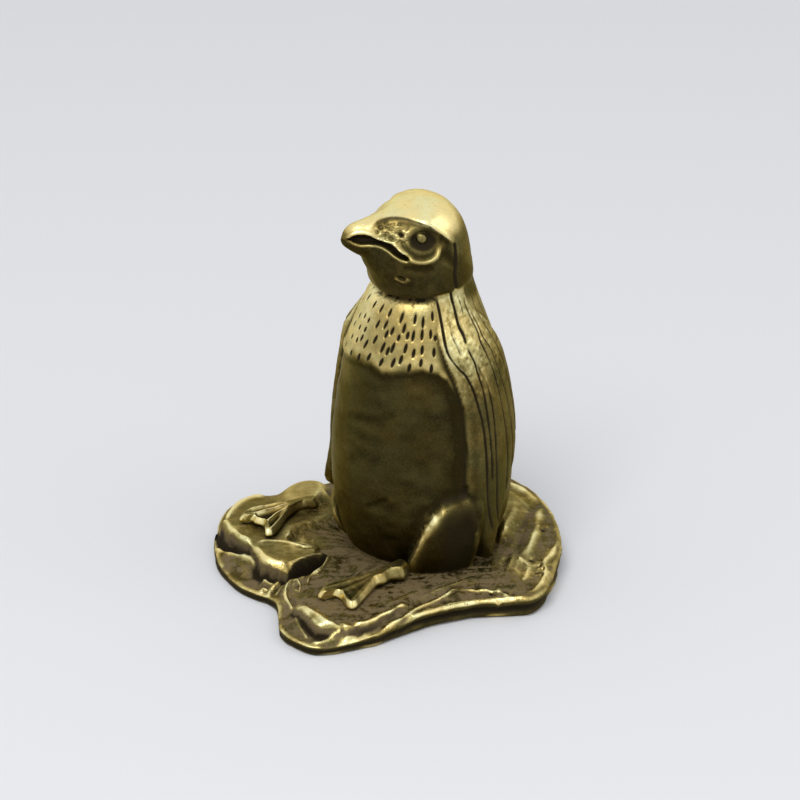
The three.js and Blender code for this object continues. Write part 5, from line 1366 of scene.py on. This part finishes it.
def brassFinish(name, bump):
    # Bright brass under a dark skin: the painted share of polish, which holds painted highlights and
    # painted shade as well as wear, broken up by cloudy noise, picks the colour from dark olive to bright;
    # soot, which holds painted shade as well as the black in cuts, and earth lie over it and take away the
    # metal's shine.
    look = brassLook
    finish = Finish(name)
    place = finish.node("ShaderNodeTexCoord", output=3)
    polish, soot, earth = finish.paint("polish"), finish.paint("soot"), finish.paint("earth")
    clouds = finish.noise(place, look["mottle"], 4.0)
    specks = finish.noise(place, look["pits"], 3.0)
    sockets = {"Vector": place, "Scale": look["pits"] * 0.5}
    cells = finish.node("ShaderNodeTexVoronoi", {"feature": "F1"}, sockets)
    # wear and painted highlights and painted shade together pick the colour
    wornAndLit = polish + (clouds - 0.5) * (0.1 + 0.2 * polish) + (specks - 0.5) * 0.24
    colour = finish.node("ShaderNodeValToRGB", {"stops": look["ramp"]}, {"Fac": wornAndLit})
    dusty = (earth + (specks - 0.5) * 0.5 + (clouds - 0.5) * 0.3).between(0.25, 0.75)
    # the black paint, which holds painted shade as well as the fill in cuts
    black = (soot + (specks - 0.5) * 0.25).between(0.15, 0.8)
    pit = cells.between(0.22, 0.05) * clouds.between(0.42, 0.62)
    drift = finish.noise(place, look["drift"], 3.0).between(0.35, 0.65)
    tint = finish.mix(drift, (1.04, 0.96, 0.84), (0.96, 1.0, 1.02))
    colour = finish.node("ShaderNodeVectorMath", {"operation": "MULTIPLY"}, {0: colour, 1: tint})
    colour = finish.mix(dusty * 0.9, colour, look["earth"])
    colour = finish.mix(black, colour, look["soot"])
    colour = finish.mix(pit * 0.6, colour, look["soot"])
    finish.set("Base Color", colour)
    finish.set("Specular IOR Level", look["shine"])
    finish.set("Specular Tint", look["edgeTint"])
    finish.set("Metallic", 1 - 0.75 * dusty - 0.5 * black * (1 - dusty))
    finish.set("Roughness", 0.46 - 0.18 * wornAndLit.between(0.3, 1.0) + 0.32 * dusty + 0.16 * black)
    relief = (specks - 0.5) * 0.5 - pit * 1.2 + (clouds - 0.5) * 0.6
    sockets = {"Strength": bump[0], "Distance": bump[1], "Height": relief}
    finish.set("Normal", finish.node("ShaderNodeBump", None, sockets))
    return finish.material


figureBrass = brassFinish("figure_brass_worn", brassLook["figureBump"])
rockBrass = brassFinish("rock_brass_patina", brassLook["rockBump"])
for piece in (bird, head, *feet):
    piece.data.materials.append(figureBrass)
rock.data.materials.append(rockBrass)
print("brass made")

# The floor, the light and the camera.
studio = {
    "floor": 0.72,
    "world": 0.7,
    "lamps": [  # name, azimuth, elevation, distance, size, strength
        ("key_light", 20, 58, 0.5, 0.28, 0.5),
        ("side_light", 120, 35, 0.5, 0.35, 0.12),
    ],
    "lampsAim": 0.018,  # metres above the ground
    "aim": (-6.457, 4.094, 13.85),  # millimetres from the foot of the bird's axis
    "distance": 0.38,
    "azimuth": 42,
    "elevation": 28,
    "view": 12.4,
}

floorMesh = bpy.data.meshes.new("studio_floor")
floorMesh.from_pydata([(-3, -3, 0), (3, -3, 0), (3, 3, 0), (-3, 3, 0)], [], [(0, 1, 2, 3)])
floorPlane = bpy.data.objects.new("studio_floor", floorMesh)
bpy.context.scene.collection.objects.link(floorPlane)
cloth = Finish("pale_cloth")
cloth.set("Base Color", (studio["floor"], studio["floor"], studio["floor"] * 1.01))
cloth.set("Roughness", 0.9)
floorMesh.materials.append(cloth.material)

world = bpy.data.worlds.new("studio")
bpy.context.scene.world = world
world.use_nodes = True
sky = world.node_tree
background = sky.nodes["Background"]
rays = sky.nodes.new("ShaderNodeLightPath")
seen = sky.nodes.new("ShaderNodeMath")
seen.operation = "MAXIMUM"
mirrored = sky.nodes.new("ShaderNodeMath")
mirrored.operation = "MAXIMUM"
sky.links.new(rays.outputs["Is Glossy Ray"], mirrored.inputs[0])
sky.links.new(rays.outputs["Is Transmission Ray"], mirrored.inputs[1])
sky.links.new(rays.outputs["Is Camera Ray"], seen.inputs[0])
sky.links.new(mirrored.outputs[0], seen.inputs[1])
strength = sky.nodes.new("ShaderNodeMapRange")
strength.inputs["To Min"].default_value = studio["world"]
strength.inputs["To Max"].default_value = 1.0
sky.links.new(seen.outputs[0], strength.inputs["Value"])
sky.links.new(strength.outputs[0], background.inputs["Strength"])
background.inputs["Color"].default_value = (0.93, 0.95, 1.0, 1)


def wayOut(azimuth, elevation):
    # The unit vector (sin a cos e, -cos a cos e, sin e), which is straight ahead of the bird at zero.
    a, e = math.radians(azimuth), math.radians(elevation)
    return np.array([math.sin(a) * math.cos(e), -math.cos(a) * math.cos(e), math.sin(e)])


def turnBack(azimuth, elevation):
    # The turn that makes a lamp or camera there face the bird.
    return math.pi / 2 - math.radians(elevation), 0, math.radians(azimuth)


def lamp(name, azimuth, elevation, away, size, strength):
    # A square lamp that faces the bird's middle from the given side, with its power for that distance.
    light = bpy.data.lights.new(name, "AREA")
    light.shape, light.size = "SQUARE", size
    light.energy = strength * away**2 * 10
    made = bpy.data.objects.new(name, light)
    bpy.context.scene.collection.objects.link(made)
    made.location = wayOut(azimuth, elevation) * away + np.array([0, 0, studio["lampsAim"]])
    made.rotation_euler = turnBack(azimuth, elevation)


for values in studio["lamps"]:
    lamp(*values)

cameraData = bpy.data.cameras.new("camera")
cameraData.sensor_width = 36
cameraData.lens = cameraData.sensor_width / 2 / math.tan(math.radians(studio["view"] / 2))
cameraData.clip_start, cameraData.clip_end = 0.01, 20
camera = bpy.data.objects.new("camera", cameraData)
bpy.context.scene.collection.objects.link(camera)
aim = birdAxis + np.array(studio["aim"]) * mm
camera.location = aim + wayOut(studio["azimuth"], studio["elevation"]) * studio["distance"]
camera.rotation_euler = turnBack(studio["azimuth"], studio["elevation"])
bpy.context.scene.camera = camera
bpy.context.scene.view_settings.view_transform = "Standard"
print("studio made")
